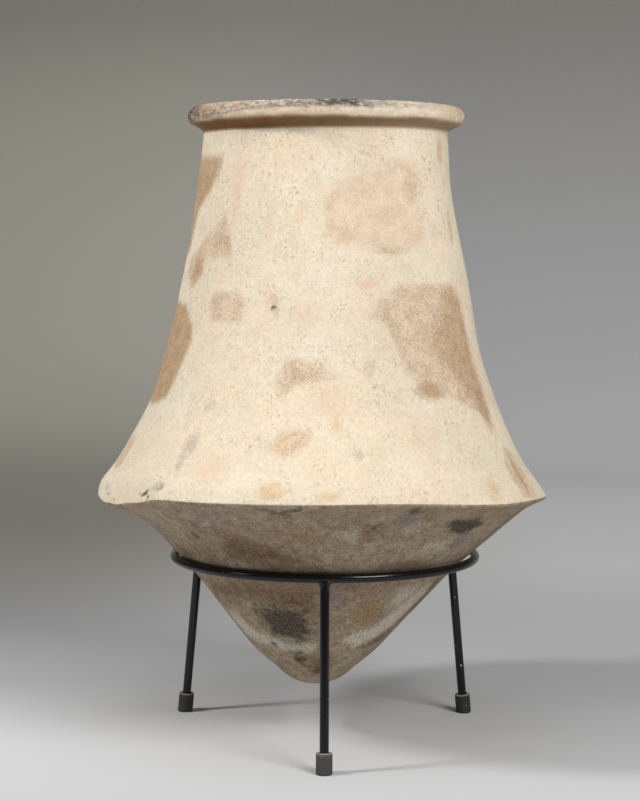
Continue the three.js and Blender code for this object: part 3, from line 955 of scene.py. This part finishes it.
def lower_colour(wiring, place, masks, grains, settings):
    """The bare olive-brown clay under the keel, with its blotches, wiped streaks and dark net."""
    rootlets = shared_effect("rootlet marks", build_rootlets)
    colour = tuple(settings.bare_clay)
    tints = (
        (0.06, 4.0, srgb(184, 168, 138), 0.7),
        (0.032, 9.0, srgb(156, 128, 98), 0.6),
        (0.018, 6.0, srgb(190, 178, 156), 0.5),
        (0.011, 2.0, srgb(128, 106, 82), 0.5),
        (0.007, 14.0, srgb(168, 150, 146), 0.4),
    )
    for size, offset, tone, strength in tints:
        spread = wiring.rise(wiring.cloud(place, size, 4, 0.6, offset), 0.46, 0.64, 0.0, strength)
        colour = wiring.blend(spread, colour, tone)
    for kind, tone, size, share in (
        ("ochre", srgb(158, 128, 86), 0.008, 0.75),
        ("rust", srgb(114, 84, 62), 0.01, 0.85),
        ("pale", srgb(218, 210, 192), 0.007, 0.85),
        ("grey", srgb(142, 130, 130), 0.006, 0.8),
    ):
        spread = broken(wiring, place, masks[kind], size, 1.1, 0.5)
        colour = wiring.blend(wiring.math("MULTIPLY", spread, share), colour, tone)
    net = wiring.rise(wiring.cloud(place, 0.003, 5, 0.85, 6.0), 0.33, 0.67, 0.62, 1.3)
    colour = wiring.blend(1.0, colour, net, "MULTIPLY")
    for size, share in ((0.0055, 0.45), (0.004, 0.4)):
        line = wiring.effect(rootlets, place=place, size=size, width=0.035, share=share)["Mask"]
        colour = wiring.blend(wiring.math("MULTIPLY", line, 0.5), colour, srgb(84, 68, 50))
    colour = wiring.blend(wiring.math("MULTIPLY", grains["Dark"], 0.4), colour, srgb(86, 72, 56))
    return wiring.blend(wiring.math("MULTIPLY", grains["Pale"], 0.4), colour, srgb(214, 202, 178))


def lip_colour(wiring, place, colour, settings):
    """Soot on the lip, black streaks and a grey film above, and in the hollow under it a painted shadow with
    brown grime.
    """
    # Painted shadow with brown grime in the hollow under the lip
    under = wiring.mask("under_lip")
    hollow_shadow_and_grime = wiring.blend(wiring.cloud(place, 0.012, 4, 0.7, 12.0), srgb(102, 74, 42), srgb(142, 104, 64))
    colour = wiring.blend(under, colour, hollow_shadow_and_grime)
    lip = wiring.mask("sooted_lip")
    level = wiring.aim("MULTIPLY", place, (1.0, 1.0, 3.2))
    film = wiring.rise(wiring.cloud(level, 0.016, 4, 0.7, 2.5), 0.36, 0.56, 0.3, 0.9)
    colour = wiring.blend(wiring.math("MULTIPLY", lip, film), colour, srgb(164, 155, 146))
    rubbed = wiring.rise(wiring.cloud(place, 0.02, 4, 0.7, 4.5), 0.3, 0.6)
    rubbed = wiring.math("MULTIPLY", wiring.mask("worn_lip"), rubbed)
    colour = wiring.blend(rubbed, colour, srgb(198, 166, 130))
    crust = wiring.math("MULTIPLY_ADD", lip, 0.12, wiring.cloud(level, 0.009, 6, 0.8, 1.5))
    crust = wiring.math("MULTIPLY_ADD", wiring.cloud(level, 0.0022, 4, 0.9, 8.5), 0.3, crust)
    black = wiring.rise(crust, 0.69, 0.78)
    patchy = wiring.rise(wiring.cloud(level, 0.035, 3, 0.6, 6.5), 0.36, 0.52, 0.5, 1.0)
    black = wiring.math("MULTIPLY", wiring.math("MULTIPLY", black, patchy), 0.82)
    return wiring.blend(wiring.math("MULTIPLY", lip, black), colour, tuple(settings.soot))


def clay_material(settings):
    """Fired clay: cream slip above the keel, bare clay under it, soot and wear on both."""
    material, wiring, place, surface = new_material("fired clay")
    grains = wiring.effect(shared_effect("sand grains", build_grains), place=place, size=settings.grain)
    masks = {kind: wiring.mask(kind) for kind in STAINS}
    upper = slip_colour(wiring, place, masks, grains, settings)
    lower = lower_colour(wiring, place, masks, grains, settings)
    above_keel = broken(wiring, place, wiring.mask("slip"), 0.003, 0.25, 0.12)
    colour = wiring.blend(above_keel, lower, upper)
    hollow = wiring.blend(wiring.cloud(place, 0.03, 4, 0.6), srgb(150, 124, 96), srgb(186, 162, 132))
    colour = wiring.blend(wiring.mask("hollow"), colour, hollow)
    soot = broken(wiring, place, masks["dark"], 0.01, 1.2, 0.35)
    grit = wiring.rise(wiring.cloud(place, 0.0028, 5, 0.85, 10.0), 0.36, 0.56, 0.6, 0.95)
    soot = wiring.math("MULTIPLY", soot, grit)
    soot_tone = wiring.blend(above_keel, srgb(58, 49, 40), tuple(settings.soot))
    colour = wiring.blend(soot, colour, soot_tone)
    fleck = wiring.math("MULTIPLY", wiring.math("MULTIPLY", grains["Pale"], soot), 0.25)
    colour = wiring.blend(fleck, colour, srgb(206, 192, 166))
    # Painted shade with some grime: a dark band on the clay just above where the ring holds it
    patchy = wiring.rise(wiring.cloud(place, 0.008, 4, 0.7), 0.3, 0.6)
    seat = wiring.math("MULTIPLY", wiring.mask("seat_shade_and_grime"), patchy)
    colour = wiring.blend(wiring.math("MULTIPLY", seat, 0.6), colour, srgb(86, 72, 56))
    colour = lip_colour(wiring, place, colour, settings)
    wiring.feed(surface.inputs["Base Color"], colour)
    worn = wiring.math("ADD", masks["brown"], wiring.math("SUBTRACT", 1.0, above_keel), clamp=True)
    rough = wiring.rise(wiring.cloud(place, 0.004, 3, 0.6, 5.5), 0.3, 0.7, 0.74, 0.92)
    wiring.feed(surface.inputs["Roughness"], rough)
    surface.inputs["Specular IOR Level"].default_value = 0.3
    sandy = wiring.math("MULTIPLY_ADD", worn, 0.9, 0.3)
    fine = wiring.math("MULTIPLY", wiring.math("SUBTRACT", grains["Tone"], 0.5), sandy)
    swell = wiring.math("MULTIPLY", wiring.cloud(place, 0.009, 5, 0.7, 3.5), 3.0)
    height = wiring.math("ADD", fine, swell)
    bump = wiring.add("ShaderNodeBump", {"Height": height, "Distance": 0.0004, "Strength": 0.9})
    wiring.feed(surface.inputs["Normal"], bump.outputs["Normal"])
    return material


def paint_material(settings):
    """Black satin paint on steel rod, uneven from the brush, with small bare chips."""
    material, wiring, place, surface = new_material("black painted steel")
    marks = shared_effect("scattered marks", build_marks)
    chips = wiring.effect(
        marks, place=place, spacing=0.011, width=0.11, stretch=1.4, lean=0.4, share=settings.chips
    )
    scuffs = wiring.effect(marks, place=place, spacing=0.006, width=0.1, stretch=2.0, lean=1.1, share=0.35)
    dust = wiring.rise(wiring.cloud(place, 0.004, 5, 0.8), 0.48, 0.75, 0.0, 0.16)
    colour = wiring.blend(dust, tuple(settings.paint), srgb(58, 58, 58))
    colour = wiring.blend(wiring.math("MULTIPLY", scuffs["Mask"], 0.35), colour, srgb(110, 110, 108))
    colour = wiring.blend(chips["Mask"], colour, tuple(settings.chipped))
    wiring.feed(surface.inputs["Base Color"], colour)
    rough = wiring.rise(wiring.cloud(place, 0.003, 3, 0.6, 2.0), 0.3, 0.7, 0.1, 0.24)
    wiring.feed(surface.inputs["Roughness"], rough)
    surface.inputs["Specular IOR Level"].default_value = 0.34
    sunk = wiring.math("MULTIPLY", chips["Mask"], -1.5)
    height = wiring.math("ADD", wiring.cloud(place, 0.0018, 3, 0.6), sunk)
    bump = wiring.add("ShaderNodeBump", {"Height": height, "Distance": 0.0001, "Strength": 0.4})
    wiring.feed(surface.inputs["Normal"], bump.outputs["Normal"])
    return material


def rubber_material(settings):
    """Dark grey rubber, pale at its cut rim from wear and a painted highlight, and browned where it has been
    handled.
    """
    material, wiring, place, surface = new_material("black rubber")
    marks = shared_effect("scattered marks", build_marks)
    scuffs = wiring.effect(marks, place=place, spacing=0.004, width=0.2, stretch=2.5, lean=0.7, share=0.5)
    handled = wiring.mask("handled")
    tone = wiring.blend(wiring.cloud(place, 0.007, 4, 0.6), srgb(48, 48, 45), srgb(82, 81, 74))
    colour = wiring.blend(wiring.math("MULTIPLY", handled, 0.8), tuple(settings.rubber), tone)
    brown = wiring.math("MULTIPLY", handled, wiring.mask("near_rim"))
    brown = broken(wiring, place, brown, 0.004, 1.2, 0.35)
    colour = wiring.blend(wiring.math("MULTIPLY", brown, 0.7), colour, srgb(112, 88, 74))
    colour = wiring.blend(wiring.math("MULTIPLY", scuffs["Mask"], 0.55), colour, srgb(126, 126, 116))
    # Painted highlight with some wear: the cut rim on top of the cap is painted pale
    rim = broken(wiring, place, wiring.mask("rim"), 0.0016, 0.8, 0.2)
    colour = wiring.blend(wiring.math("MULTIPLY", rim, 0.75), colour, srgb(150, 150, 142))
    wiring.feed(surface.inputs["Base Color"], colour)
    rough = wiring.rise(wiring.cloud(place, 0.002, 3, 0.6), 0.3, 0.7, 0.6, 0.85)
    wiring.feed(surface.inputs["Roughness"], rough)
    height = wiring.cloud(place, 0.0011, 3, 0.6)
    bump = wiring.add("ShaderNodeBump", {"Height": height, "Distance": 0.0001, "Strength": 0.7})
    wiring.feed(surface.inputs["Normal"], bump.outputs["Normal"])
    return material


def backdrop_material(settings):
    """Seamless paper with painted light and shade: its tone drifts from front to back, and differently at
    the left and the right, for the fall of the lamps' light and the urn's soft shadows on it.
    """
    material, wiring, place, surface = new_material("studio paper")
    axes = wiring.add("ShaderNodeSeparateXYZ", {"Vector": place})
    back = wiring.math("ADD", axes.outputs["Y"], axes.outputs["Z"])
    share = wiring.add("ShaderNodeMapRange", {"Value": back})
    share.inputs["From Min"].default_value = PAPER_TONES_START
    share.inputs["From Max"].default_value = PAPER_TONES_END
    # Painted light and shade over the paper, a curve for the left and one for the right
    painted_light = []
    for side in (settings.left_paper_light, settings.right_paper_light):
        curve = wiring.add("ShaderNodeFloatCurve", {"Value": share.outputs[0]})
        points = curve.mapping.curves[0].points
        for at, tone in zip(PAPER_STATIONS[1:-1], side[1:-1]):
            points.new((at - PAPER_TONES_START) / (PAPER_TONES_END - PAPER_TONES_START), tone)
        points[0].location = (0, side[0])
        points[-1].location = (1, side[-1])
        curve.mapping.update()
        painted_light.append(curve.outputs[0])
    across = wiring.rise(axes.outputs["X"], -0.5, 0.5)
    mixed = wiring.add("ShaderNodeMix", data_type="FLOAT")
    wiring.feed(mixed.inputs[0], across)
    wiring.feed(mixed.inputs[2], painted_light[0])
    wiring.feed(mixed.inputs[3], painted_light[1])
    far_left = wiring.math("MULTIPLY", wiring.rise(back, 0.6, 1.6), wiring.math("SUBTRACT", 1.0, across))
    high = wiring.math("MAXIMUM", far_left, wiring.rise(axes.outputs["Z"], 0.4, 1.4, 0.0, 0.6))
    warm = wiring.blend(high, tuple(settings.paper), tuple(settings.paper_far))
    colour = wiring.blend(1.0, warm, mixed.outputs[0], "MULTIPLY")
    wiring.feed(surface.inputs["Base Color"], colour)
    surface.inputs["Roughness"].default_value = 0.8
    surface.inputs["Specular IOR Level"].default_value = 0.2
    return material


def handwork(places, true_places, seat, settings):
    """The small relief that hand and time left: dents, a wavy lip and bites out of its edge."""
    height = true_places[:, 2]
    azimuth = azimuth_of(places)
    outward = places * (1, 1, 0)
    outward = outward / np.maximum(np.linalg.norm(outward, axis=1), 1)[:, None]
    clear_of_seat = 1 - bell(height - seat, 25)
    dents = 0.5 + 0.5 * ripple(places, 75, 3)
    small = 0.5 + 0.5 * ripple(places, 22, 5)
    depth = (settings.dents / MM) * (0.7 * dents + 0.3 * small) * clear_of_seat
    on_lip = smooth(height, NECK_HEIGHT + 2, URN_HEIGHT - LIP_DEPTH)
    under_lip = on_lip * (1 - smooth(height, URN_HEIGHT - LIP_DEPTH, URN_HEIGHT - 2))
    level = places * (1, 1, 0)
    wave = LIP_WAVE * ripple(level, 38, 11) + LIP_WAVE / 2 * ripple(level, 13, 12)
    bites = on_lip * smooth(ripple(places, 9, 14), 0.15, 0.5)
    depth = depth + BITE_DEPTH * bites
    for middle, reach, up in GOUGES:
        gouge = about(azimuth, middle, reach) * bell(places[:, 2] - up, GOUGE_REACH)
        depth = depth + GOUGE_DEPTH * gouge
    fuller = about(azimuth, *FULLER_SIDE) * smooth(height, KEEL_HEIGHT + 20, KEEL_HEIGHT + 80)
    depth = depth - fuller * (1 + bell(height - NECK_HEIGHT + 15, 30))
    worked = places - outward * depth[:, None]
    worked[:, 2] += wave * under_lip
    return worked


def wear_masks(places, height, seat):
    """Painted shade with grime just above the ring, painted shadow with brown grime in the hollow under the
    lip, and wear on the lip, by azimuth and true height.
    """
    azimuth = azimuth_of(places)
    roll_start = URN_HEIGHT - LIP_DEPTH
    # How strong the painted shade and grime above the ring are, round the urn
    handled = 0.15 + 0.85 * about(azimuth, *SEAT_SHADE_AND_GRIME_SIDE)
    ends = 1.2 * about(azimuth, *WORN_LEFT) + about(azimuth, *WORN_RIGHT)
    on_roll = smooth(height, roll_start, roll_start + 4)
    # How strong the painted shadow and grime in the hollow under the lip are, round the urn; on the darker
    # side they also reach lower
    shaded_and_grimy = about(azimuth, *SHADED_GRIMY_SIDE)
    shade_and_grime_start = NECK_HEIGHT + 3 * (1 - shaded_and_grimy)
    hollow_low = smooth(height, shade_and_grime_start - 1, shade_and_grime_start + 3)
    hollow_high = 1 - smooth(height, roll_start, roll_start + 5)
    return {
        "seat_shade_and_grime": bell(height - seat - 6, 15) * handled,
        "worn_lip": on_roll * (0.15 + 0.6 * ends),
        "under_lip": hollow_low * hollow_high * (0.7 + 0.3 * shaded_and_grimy),
    }


def lip_soot(places, height):
    """Soot on the upper roll of the lip, inside too: it reaches lower and is thicker in places."""
    azimuth = azimuth_of(places)
    left_end = about(azimuth, *SOOTY_LEFT)
    low_soot = 10 * left_end + 7 * about(azimuth, *LOW_SOOT_SIDE)
    edge = URN_HEIGHT - 10 - low_soot + 3 * ripple(places * (1, 1, 0), 30, 31)
    sooty = 0.2 + 0.45 * about(azimuth, *SOOTY_FRONT) + 1.05 * left_end
    for middle, strength in LIP_SOOT:
        sooty = sooty + strength * about(azimuth, middle, LIP_SOOT_REACH)
    return smooth(height, edge - 2, edge + 4) * sooty


def hollow_side(count_outside, count_all):
    """A number along the outline: 0 on the outside, 1 on the inside."""
    return [0.0] * count_outside + [1.0] * (count_all - count_outside)


class URN_PG_clay(bpy.types.PropertyGroup):
    slip: FloatVectorProperty(
        name="Slip", description="Cream slip above the keel", subtype="COLOR", size=3, min=0, max=1,
        default=srgb(235, 219, 191),
    )
    bare_clay: FloatVectorProperty(
        name="Bare clay", description="Clay under the keel", subtype="COLOR", size=3, min=0, max=1,
        default=srgb(166, 147, 119),
    )
    soot: FloatVectorProperty(
        name="Soot", description="Black deposits", subtype="COLOR", size=3, min=0, max=1,
        default=srgb(58, 55, 52),
    )
    rootlets: FloatProperty(
        name="Rootlet marks", description="How dark the fine marks are", subtype="FACTOR", min=0, max=1,
        default=0.8,
    )
    grain: FloatProperty(
        name="Grain", description="Size of a sand grain", unit="LENGTH", min=0.0003, max=0.005,
        default=0.0013,
    )
    dents: FloatProperty(
        name="Dents", description="Depth of the hand-made unevenness", unit="LENGTH", min=0, max=0.003,
        default=0.0009,
    )
    steps: IntProperty(
        name="Steps", description="Steps round the urn", min=64, max=ROUND_STEPS, default=ROUND_STEPS
    )


class URN_PG_stand(bpy.types.PropertyGroup):
    paint: FloatVectorProperty(
        name="Paint", description="Satin paint of the rod", subtype="COLOR", size=3, min=0, max=1,
        default=srgb(12, 12, 13),
    )
    chipped: FloatVectorProperty(
        name="Chips", description="Bare places in the paint", subtype="COLOR", size=3, min=0, max=1,
        default=srgb(190, 190, 184),
    )
    chips: FloatProperty(
        name="Chip share", description="Share of places that have a chip", subtype="FACTOR", min=0, max=1,
        default=0.45,
    )
    steps: IntProperty(name="Steps", description="Steps round the ring", min=32, max=512, default=256)


class URN_PG_feet(bpy.types.PropertyGroup):
    rubber: FloatVectorProperty(
        name="Rubber", description="Rubber of the foot caps", subtype="COLOR", size=3, min=0, max=1,
        default=srgb(42, 42, 41),
    )
    steps: IntProperty(name="Steps", description="Steps round a cap", min=16, max=128, default=64)


class URN_PG_studio(bpy.types.PropertyGroup):
    paper: FloatVectorProperty(
        name="Paper", description="Paper on the floor", subtype="COLOR", size=3, min=0, max=1,
        default=srgb(239, 239, 240),
    )
    paper_far: FloatVectorProperty(
        name="Paper far off", description="Paper at the far left and high up", subtype="COLOR", size=3,
        min=0, max=1, default=srgb(240, 236, 222),
    )
    # Painted light and shade on the paper, as factors of its colour: the lamps' falloff and the urn's soft
    # shadows
    left_paper_light: FloatVectorProperty(
        name="Left tones", description="Tone of the paper at the left, from front to back",
        subtype="NONE", size=7, min=0, max=1, default=(0.8, 0.86, 0.75, 0.45, 0.62, 0.9, 0.56),
    )
    right_paper_light: FloatVectorProperty(
        name="Right tones", description="Tone of the paper at the right, from front to back",
        subtype="NONE", size=7, min=0, max=1, default=(0.78, 0.72, 0.63, 0.88, 1.0, 0.84, 0.5),
    )
    left_power: FloatProperty(
        name="Left light", description="Power of the light at the left", unit="POWER", min=0, default=24.5
    )
    low_power: FloatProperty(
        name="Low light", description="Power of the low light at the left", unit="POWER", min=0, default=2.5
    )
    right_power: FloatProperty(
        name="Right light", description="Power of the light at the right", unit="POWER", min=0, default=44
    )
    top_power: FloatProperty(
        name="Top light", description="Power of the light overhead", unit="POWER", min=0, default=11
    )
    back_power: FloatProperty(
        name="Wall light", description="Power of the light on the wall", unit="POWER", min=0, default=12
    )
    fill: FloatProperty(
        name="Fill", description="Light from all round", subtype="FACTOR", min=0, default=0.12
    )


class URN_OT_clay(bpy.types.Operator):
    """Turns the clay urn, sets it out of true and gives it its slip, stains and wear"""

    bl_idname = "funerary_urn.clay"
    bl_label = "Clay urn"

    def execute(self, context):
        settings = context.scene.urn_clay
        outside, inside = outside_outline(), inside_outline()
        outline = np.vstack([outside, inside])
        run = run_of(outline)
        keel_at = run[np.argmax(outside[:, 0])]
        layers = {"along": run - keel_at, "hollow": hollow_side(len(outside), len(outline))}
        rod, ring_radius, _ = ring_sizes()
        seat = seat_height(outside, rod, ring_radius)
        shape = turned(outline, settings.steps, layers)
        piece = finish_piece(shape, "clay_urn", clay_material(settings), "fired_clay", "urn")
        mesh = piece.data
        true_places = read_places(mesh)
        places = out_of_true(true_places, seat)
        along, hollow = read_layer(mesh, "along"), read_layer(mesh, "hollow")
        worked = handwork(places, true_places, seat, settings)
        outer = hollow < 0.5
        places = np.where(outer[:, None], worked, places)
        places[:, 2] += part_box("urn")[0].z / MM
        write_places(mesh, places)
        write_mask(mesh, "slip", smooth(along, -1.5, 1.5))
        masks = {**stain_masks(places), **wear_masks(places, true_places[:, 2], seat)}
        for kind, values in masks.items():
            write_mask(mesh, kind, values * outer)
        write_mask(mesh, "sooted_lip", lip_soot(places, true_places[:, 2]))
        return {"FINISHED"}


def leg_frame(azimuth, ring_radius, ring_height):
    """The leg's line: a matrix with its origin on the floor and Z up along the leg, and its length."""
    outward = Vector((math.cos(math.radians(azimuth)), math.sin(math.radians(azimuth)), 0))
    foot = outward * FOOT_CIRCLE_RADIUS
    top = outward * ring_radius + Vector((0, 0, ring_height))
    up = (top - foot).normalized()
    sideways = Vector((0, 0, 1)).cross(outward).normalized()
    forward = sideways.cross(up).normalized()
    matrix = Matrix((forward, sideways, up)).transposed().to_4x4()
    matrix.translation = foot * MM
    return matrix, (top - foot).length


def ring_sizes():
    """The ring's rod radius, its own radius and its height, in millimetres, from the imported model."""
    low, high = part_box("stand_ring")
    rod = (high.z - low.z) / 2 / MM
    return rod, high.x / MM - rod, (high.z + low.z) / 2 / MM


class URN_OT_stand(bpy.types.Operator):
    """Bends the ring, sets the three legs under it and lays their weld beads"""

    bl_idname = "funerary_urn.stand"
    bl_label = "Steel stand"

    def execute(self, context):
        settings = context.scene.urn_stand
        paint = paint_material(settings)
        rod, ring_radius, ring_height = ring_sizes()
        section = arc((ring_radius, ring_height), rod, rod, 0, 360, 24)[:-1]
        shape = turned(section, settings.steps, closed=True)
        finish_piece(shape, "steel_ring", paint, "black_steel", "stand_ring")
        for side, azimuth in LEG_AZIMUTHS.items():
            self.leg(side, azimuth, paint)
        return {"FINISHED"}

    def leg(self, side, azimuth, paint):
        rod, ring_radius, ring_height = ring_sizes()
        matrix, length = leg_frame(azimuth, ring_radius, ring_height)
        lean = math.asin((FOOT_CIRCLE_RADIUS - ring_radius) / length)
        bottom = CAP_SOLE + SEAT_GAP - CAP_RADIUS * math.tan(lean)
        bead_start, bead_end = length - rod - WELD_DROP, length - rod / 2
        shape = bmesh.new()
        start = Matrix.Translation((0, 0, bottom * MM))
        bmesh.ops.create_circle(shape, cap_ends=True, segments=24, radius=rod * MM, matrix=start)
        loop = list(shape.edges)
        stations = [(mark, 0.0) for mark in np.linspace(bottom, bead_start, 24)[1:]]
        for share in np.linspace(0, 1, 11)[1:]:
            stations.append((bead_start + share * (bead_end - bead_start), share))
        reach = rod
        for mark, share in stations:
            made = bmesh.ops.extrude_edge_only(shape, edges=loop)["geom"]
            verts = [item for item in made if isinstance(item, bmesh.types.BMVert)]
            edges = [item for item in made if isinstance(item, bmesh.types.BMEdge)]
            loop = [edge for edge in edges if all(vert in verts for vert in edge.verts)]
            old_height = verts[0].co.z
            bmesh.ops.translate(shape, verts=verts, vec=(0, 0, mark * MM - old_height))
            wide = rod + WELD_SPREAD * share**2.6
            bmesh.ops.scale(shape, verts=verts, vec=(1, wide / reach, 1), space=Matrix.Identity(4))
            reach = wide
        bmesh.ops.edgeloop_fill(shape, edges=loop)
        bmesh.ops.transform(shape, matrix=matrix, verts=shape.verts)
        bmesh.ops.recalc_face_normals(shape, faces=shape.faces)
        piece = finish_piece(shape, f"steel_leg_{side}", paint, "black_steel", f"stand_leg_{side}")
        places = read_places(piece.data)
        near_weld = smooth(places[:, 2], ring_height - rod - WELD_DROP - 6, ring_height - rod - 2)
        lumps = ripple(places, 4, 21)[:, None] * 0.35 * near_weld[:, None]
        middle = np.array(matrix.translation) / MM
        away = (places - middle) * (1, 1, 0)
        away /= np.maximum(np.linalg.norm(away, axis=1), 1)[:, None]
        write_places(piece.data, places + away * lumps)


class URN_OT_feet(bpy.types.Operator):
    """Pushes a cut rubber cap on the end of each leg"""

    bl_idname = "funerary_urn.feet"
    bl_label = "Rubber feet"

    def execute(self, context):
        settings = context.scene.urn_feet
        rubber = rubber_material(settings)
        for side, handled in (("front", 1.0), ("left", 0.5), ("right", 0.0)):
            self.cap(side, handled, rubber, settings)
        return {"FINISHED"}

    def cap(self, side, handled, rubber, settings):
        rod, ring_radius, ring_height = ring_sizes()
        matrix, length = leg_frame(LEG_AZIMUTHS[side], ring_radius, ring_height)
        lean = math.asin((FOOT_CIRCLE_RADIUS - ring_radius) / length)
        overrun = CAP_RADIUS * math.tan(lean)
        bore = rod + CAP_SLACK
        top_centre = (CAP_RADIUS - CAP_EDGE, CAP_HEIGHT - CAP_EDGE)
        outline = np.vstack(
            [
                (0, -overrun),
                (CAP_RADIUS - CAP_EDGE, -overrun),
                np.linspace((CAP_RADIUS, CAP_EDGE - overrun), (CAP_RADIUS, CAP_HEIGHT - CAP_EDGE), 14),
                arc(top_centre, CAP_EDGE, CAP_EDGE, 0, 90, 5)[1:],
                (bore + CAP_EDGE / 2, CAP_HEIGHT),
                (bore, CAP_HEIGHT - CAP_EDGE / 2),
                (bore, CAP_SOLE - overrun),
                (0, CAP_SOLE - overrun),
            ]
        )
        along = np.interp(outline[:, 1], [CAP_HEIGHT - 1.6, CAP_HEIGHT - 0.4], [0, 1])
        near = np.interp(outline[:, 1], [CAP_HEIGHT * 0.6, CAP_HEIGHT], [0, 0.8])
        shape = turned(outline, settings.steps, {"rim": along, "near_rim": near})
        bmesh.ops.transform(shape, matrix=matrix, verts=shape.verts)
        geometry = [*shape.verts, *shape.edges, *shape.faces]
        cut = bmesh.ops.bisect_plane(
            shape, geom=geometry, plane_co=(0, 0, 0), plane_no=(0, 0, -1), clear_outer=True, dist=1e-7
        )
        rim = [item for item in cut["geom_cut"] if isinstance(item, bmesh.types.BMEdge)]
        bmesh.ops.edgeloop_fill(shape, edges=rim)
        bmesh.ops.recalc_face_normals(shape, faces=shape.faces)
        piece = finish_piece(shape, f"rubber_cap_{side}", rubber, "black_rubber", f"foot_cap_{side}")
        write_mask(piece.data, "handled", np.full(len(piece.data.vertices), handled))


def add_light(name, place, target, size, power):
    """A round area light at a place, facing a target."""
    data = bpy.data.lights.new(name, "AREA")
    data.shape = "DISK"
    data.size = size
    data.energy = power
    light = bpy.data.objects.new(name, data)
    light.location = place
    light.rotation_euler = (place - target).to_track_quat("Z", "Y").to_euler()
    light.visible_camera = False
    bpy.context.scene.collection.objects.link(light)


def lit_from(name, to_the_right, elevation, distance, size, power):
    """A light on the urn's middle, from an azimuth to the right of the front and an elevation."""
    side, up = math.radians(to_the_right), math.radians(elevation)
    away = Vector((math.sin(side) * math.cos(up), -math.cos(side) * math.cos(up), math.sin(up)))
    middle = Vector(LIT_MIDDLE)
    add_light(name, middle + away * distance, middle, size, power)


class URN_OT_studio(bpy.types.Operator):
    """Sets up the camera, the seamless paper and the lights"""

    bl_idname = "funerary_urn.studio"
    bl_label = "Studio"

    def execute(self, context):
        settings = context.scene.urn_studio
        self.camera(context)
        self.paper(settings)
        lit_from("left_light", -71, 38, 2.2, 0.35, settings.left_power)
        lit_from("low_light", -66, 22, 2.3, 0.5, settings.low_power)
        lit_from("right_light", 37, 33, 2.6, 1.2, settings.right_power)
        lit_from("top_light", 0, 70, 2.6, 2, settings.top_power)
        add_light("wall_light", Vector(WALL_LIGHT), Vector(WALL_LIT), 1.6, settings.back_power)
        world = bpy.data.worlds.new("studio")
        world.use_nodes = True
        background = world.node_tree.nodes["Background"]
        background.inputs["Color"].default_value = (1, 1, 1, 1)
        background.inputs["Strength"].default_value = settings.fill
        context.scene.world = world
        context.scene.view_settings.view_transform = "Standard"
        return {"FINISHED"}

    def camera(self, context):
        data = bpy.data.cameras.new("camera")
        data.sensor_width = SENSOR
        data.lens = FOCAL_PIXELS * SENSOR / PHOTO_HEIGHT
        camera = bpy.data.objects.new("camera", data)
        pan = Matrix.Rotation(math.radians(CAMERA_PAN), 4, "Z")
        pitch = Matrix.Rotation(math.radians(90 - CAMERA_PITCH), 4, "X")
        roll = Matrix.Rotation(math.radians(CAMERA_ROLL), 4, "Z")
        camera.matrix_world = Matrix.Translation(Vector(CAMERA_PLACE) * MM) @ pan @ pitch @ roll
        context.scene.collection.objects.link(camera)
        context.scene.camera = camera

    def paper(self, settings):
        """Paper that lies flat, sweeps up behind and stands."""
        flat_start, flat_end, sweep, top, half_width = -9000, 2600, 1600, 5200, 7000
        line = [(flat_start, 0), *arc((flat_end, sweep), sweep, sweep, -90, 0, 24), (flat_end + sweep, top)]
        shape = bmesh.new()
        verts = [shape.verts.new((-half_width * MM, y * MM, z * MM)) for y, z in line]
        edges = [shape.edges.new(pair) for pair in zip(verts, verts[1:])]
        made = bmesh.ops.extrude_edge_only(shape, edges=edges)["geom"]
        moved = [item for item in made if isinstance(item, bmesh.types.BMVert)]
        bmesh.ops.translate(shape, verts=moved, vec=(2 * half_width * MM, 0, 0))
        bmesh.ops.recalc_face_normals(shape, faces=shape.faces)
        mesh = bpy.data.meshes.new("paper")
        shape.to_mesh(mesh)
        shape.free()
        mesh.materials.append(backdrop_material(settings))
        mesh.shade_smooth()
        paper = bpy.data.objects.new("paper", mesh)
        bpy.context.scene.collection.objects.link(paper)


class VIEW3D_PT_funerary_urn(bpy.types.Panel):
    bl_label = "Funerary urn"
    bl_idname = "VIEW3D_PT_funerary_urn"
    bl_space_type = "VIEW_3D"
    bl_region_type = "UI"
    bl_category = "Urn"

    def draw(self, context):
        for operator, group in STEPS:
            self.layout.operator(operator.bl_idname)
            settings = getattr(context.scene, group)
            for name in settings.__annotations__:
                self.layout.prop(settings, name)


STEPS = (
    (URN_OT_clay, "urn_clay"),
    (URN_OT_stand, "urn_stand"),
    (URN_OT_feet, "urn_feet"),
    (URN_OT_studio, "urn_studio"),
)
GROUPS = {
    "urn_clay": URN_PG_clay,
    "urn_stand": URN_PG_stand,
    "urn_feet": URN_PG_feet,
    "urn_studio": URN_PG_studio,
}


def register():
    for name, group in GROUPS.items():
        bpy.utils.register_class(group)
        setattr(bpy.types.Scene, name, PointerProperty(type=group))
    for operator, _ in STEPS:
        bpy.utils.register_class(operator)
    bpy.utils.register_class(VIEW3D_PT_funerary_urn)


def unregister():
    bpy.utils.unregister_class(VIEW3D_PT_funerary_urn)
    for operator, _ in reversed(STEPS):
        bpy.utils.unregister_class(operator)
    for name, group in GROUPS.items():
        delattr(bpy.types.Scene, name)
        bpy.utils.unregister_class(group)


def main():
    register()
    bpy.ops.funerary_urn.clay()
    bpy.ops.funerary_urn.stand()
    bpy.ops.funerary_urn.feet()
    bpy.ops.funerary_urn.studio()


if __name__ == "__main__":
    main()
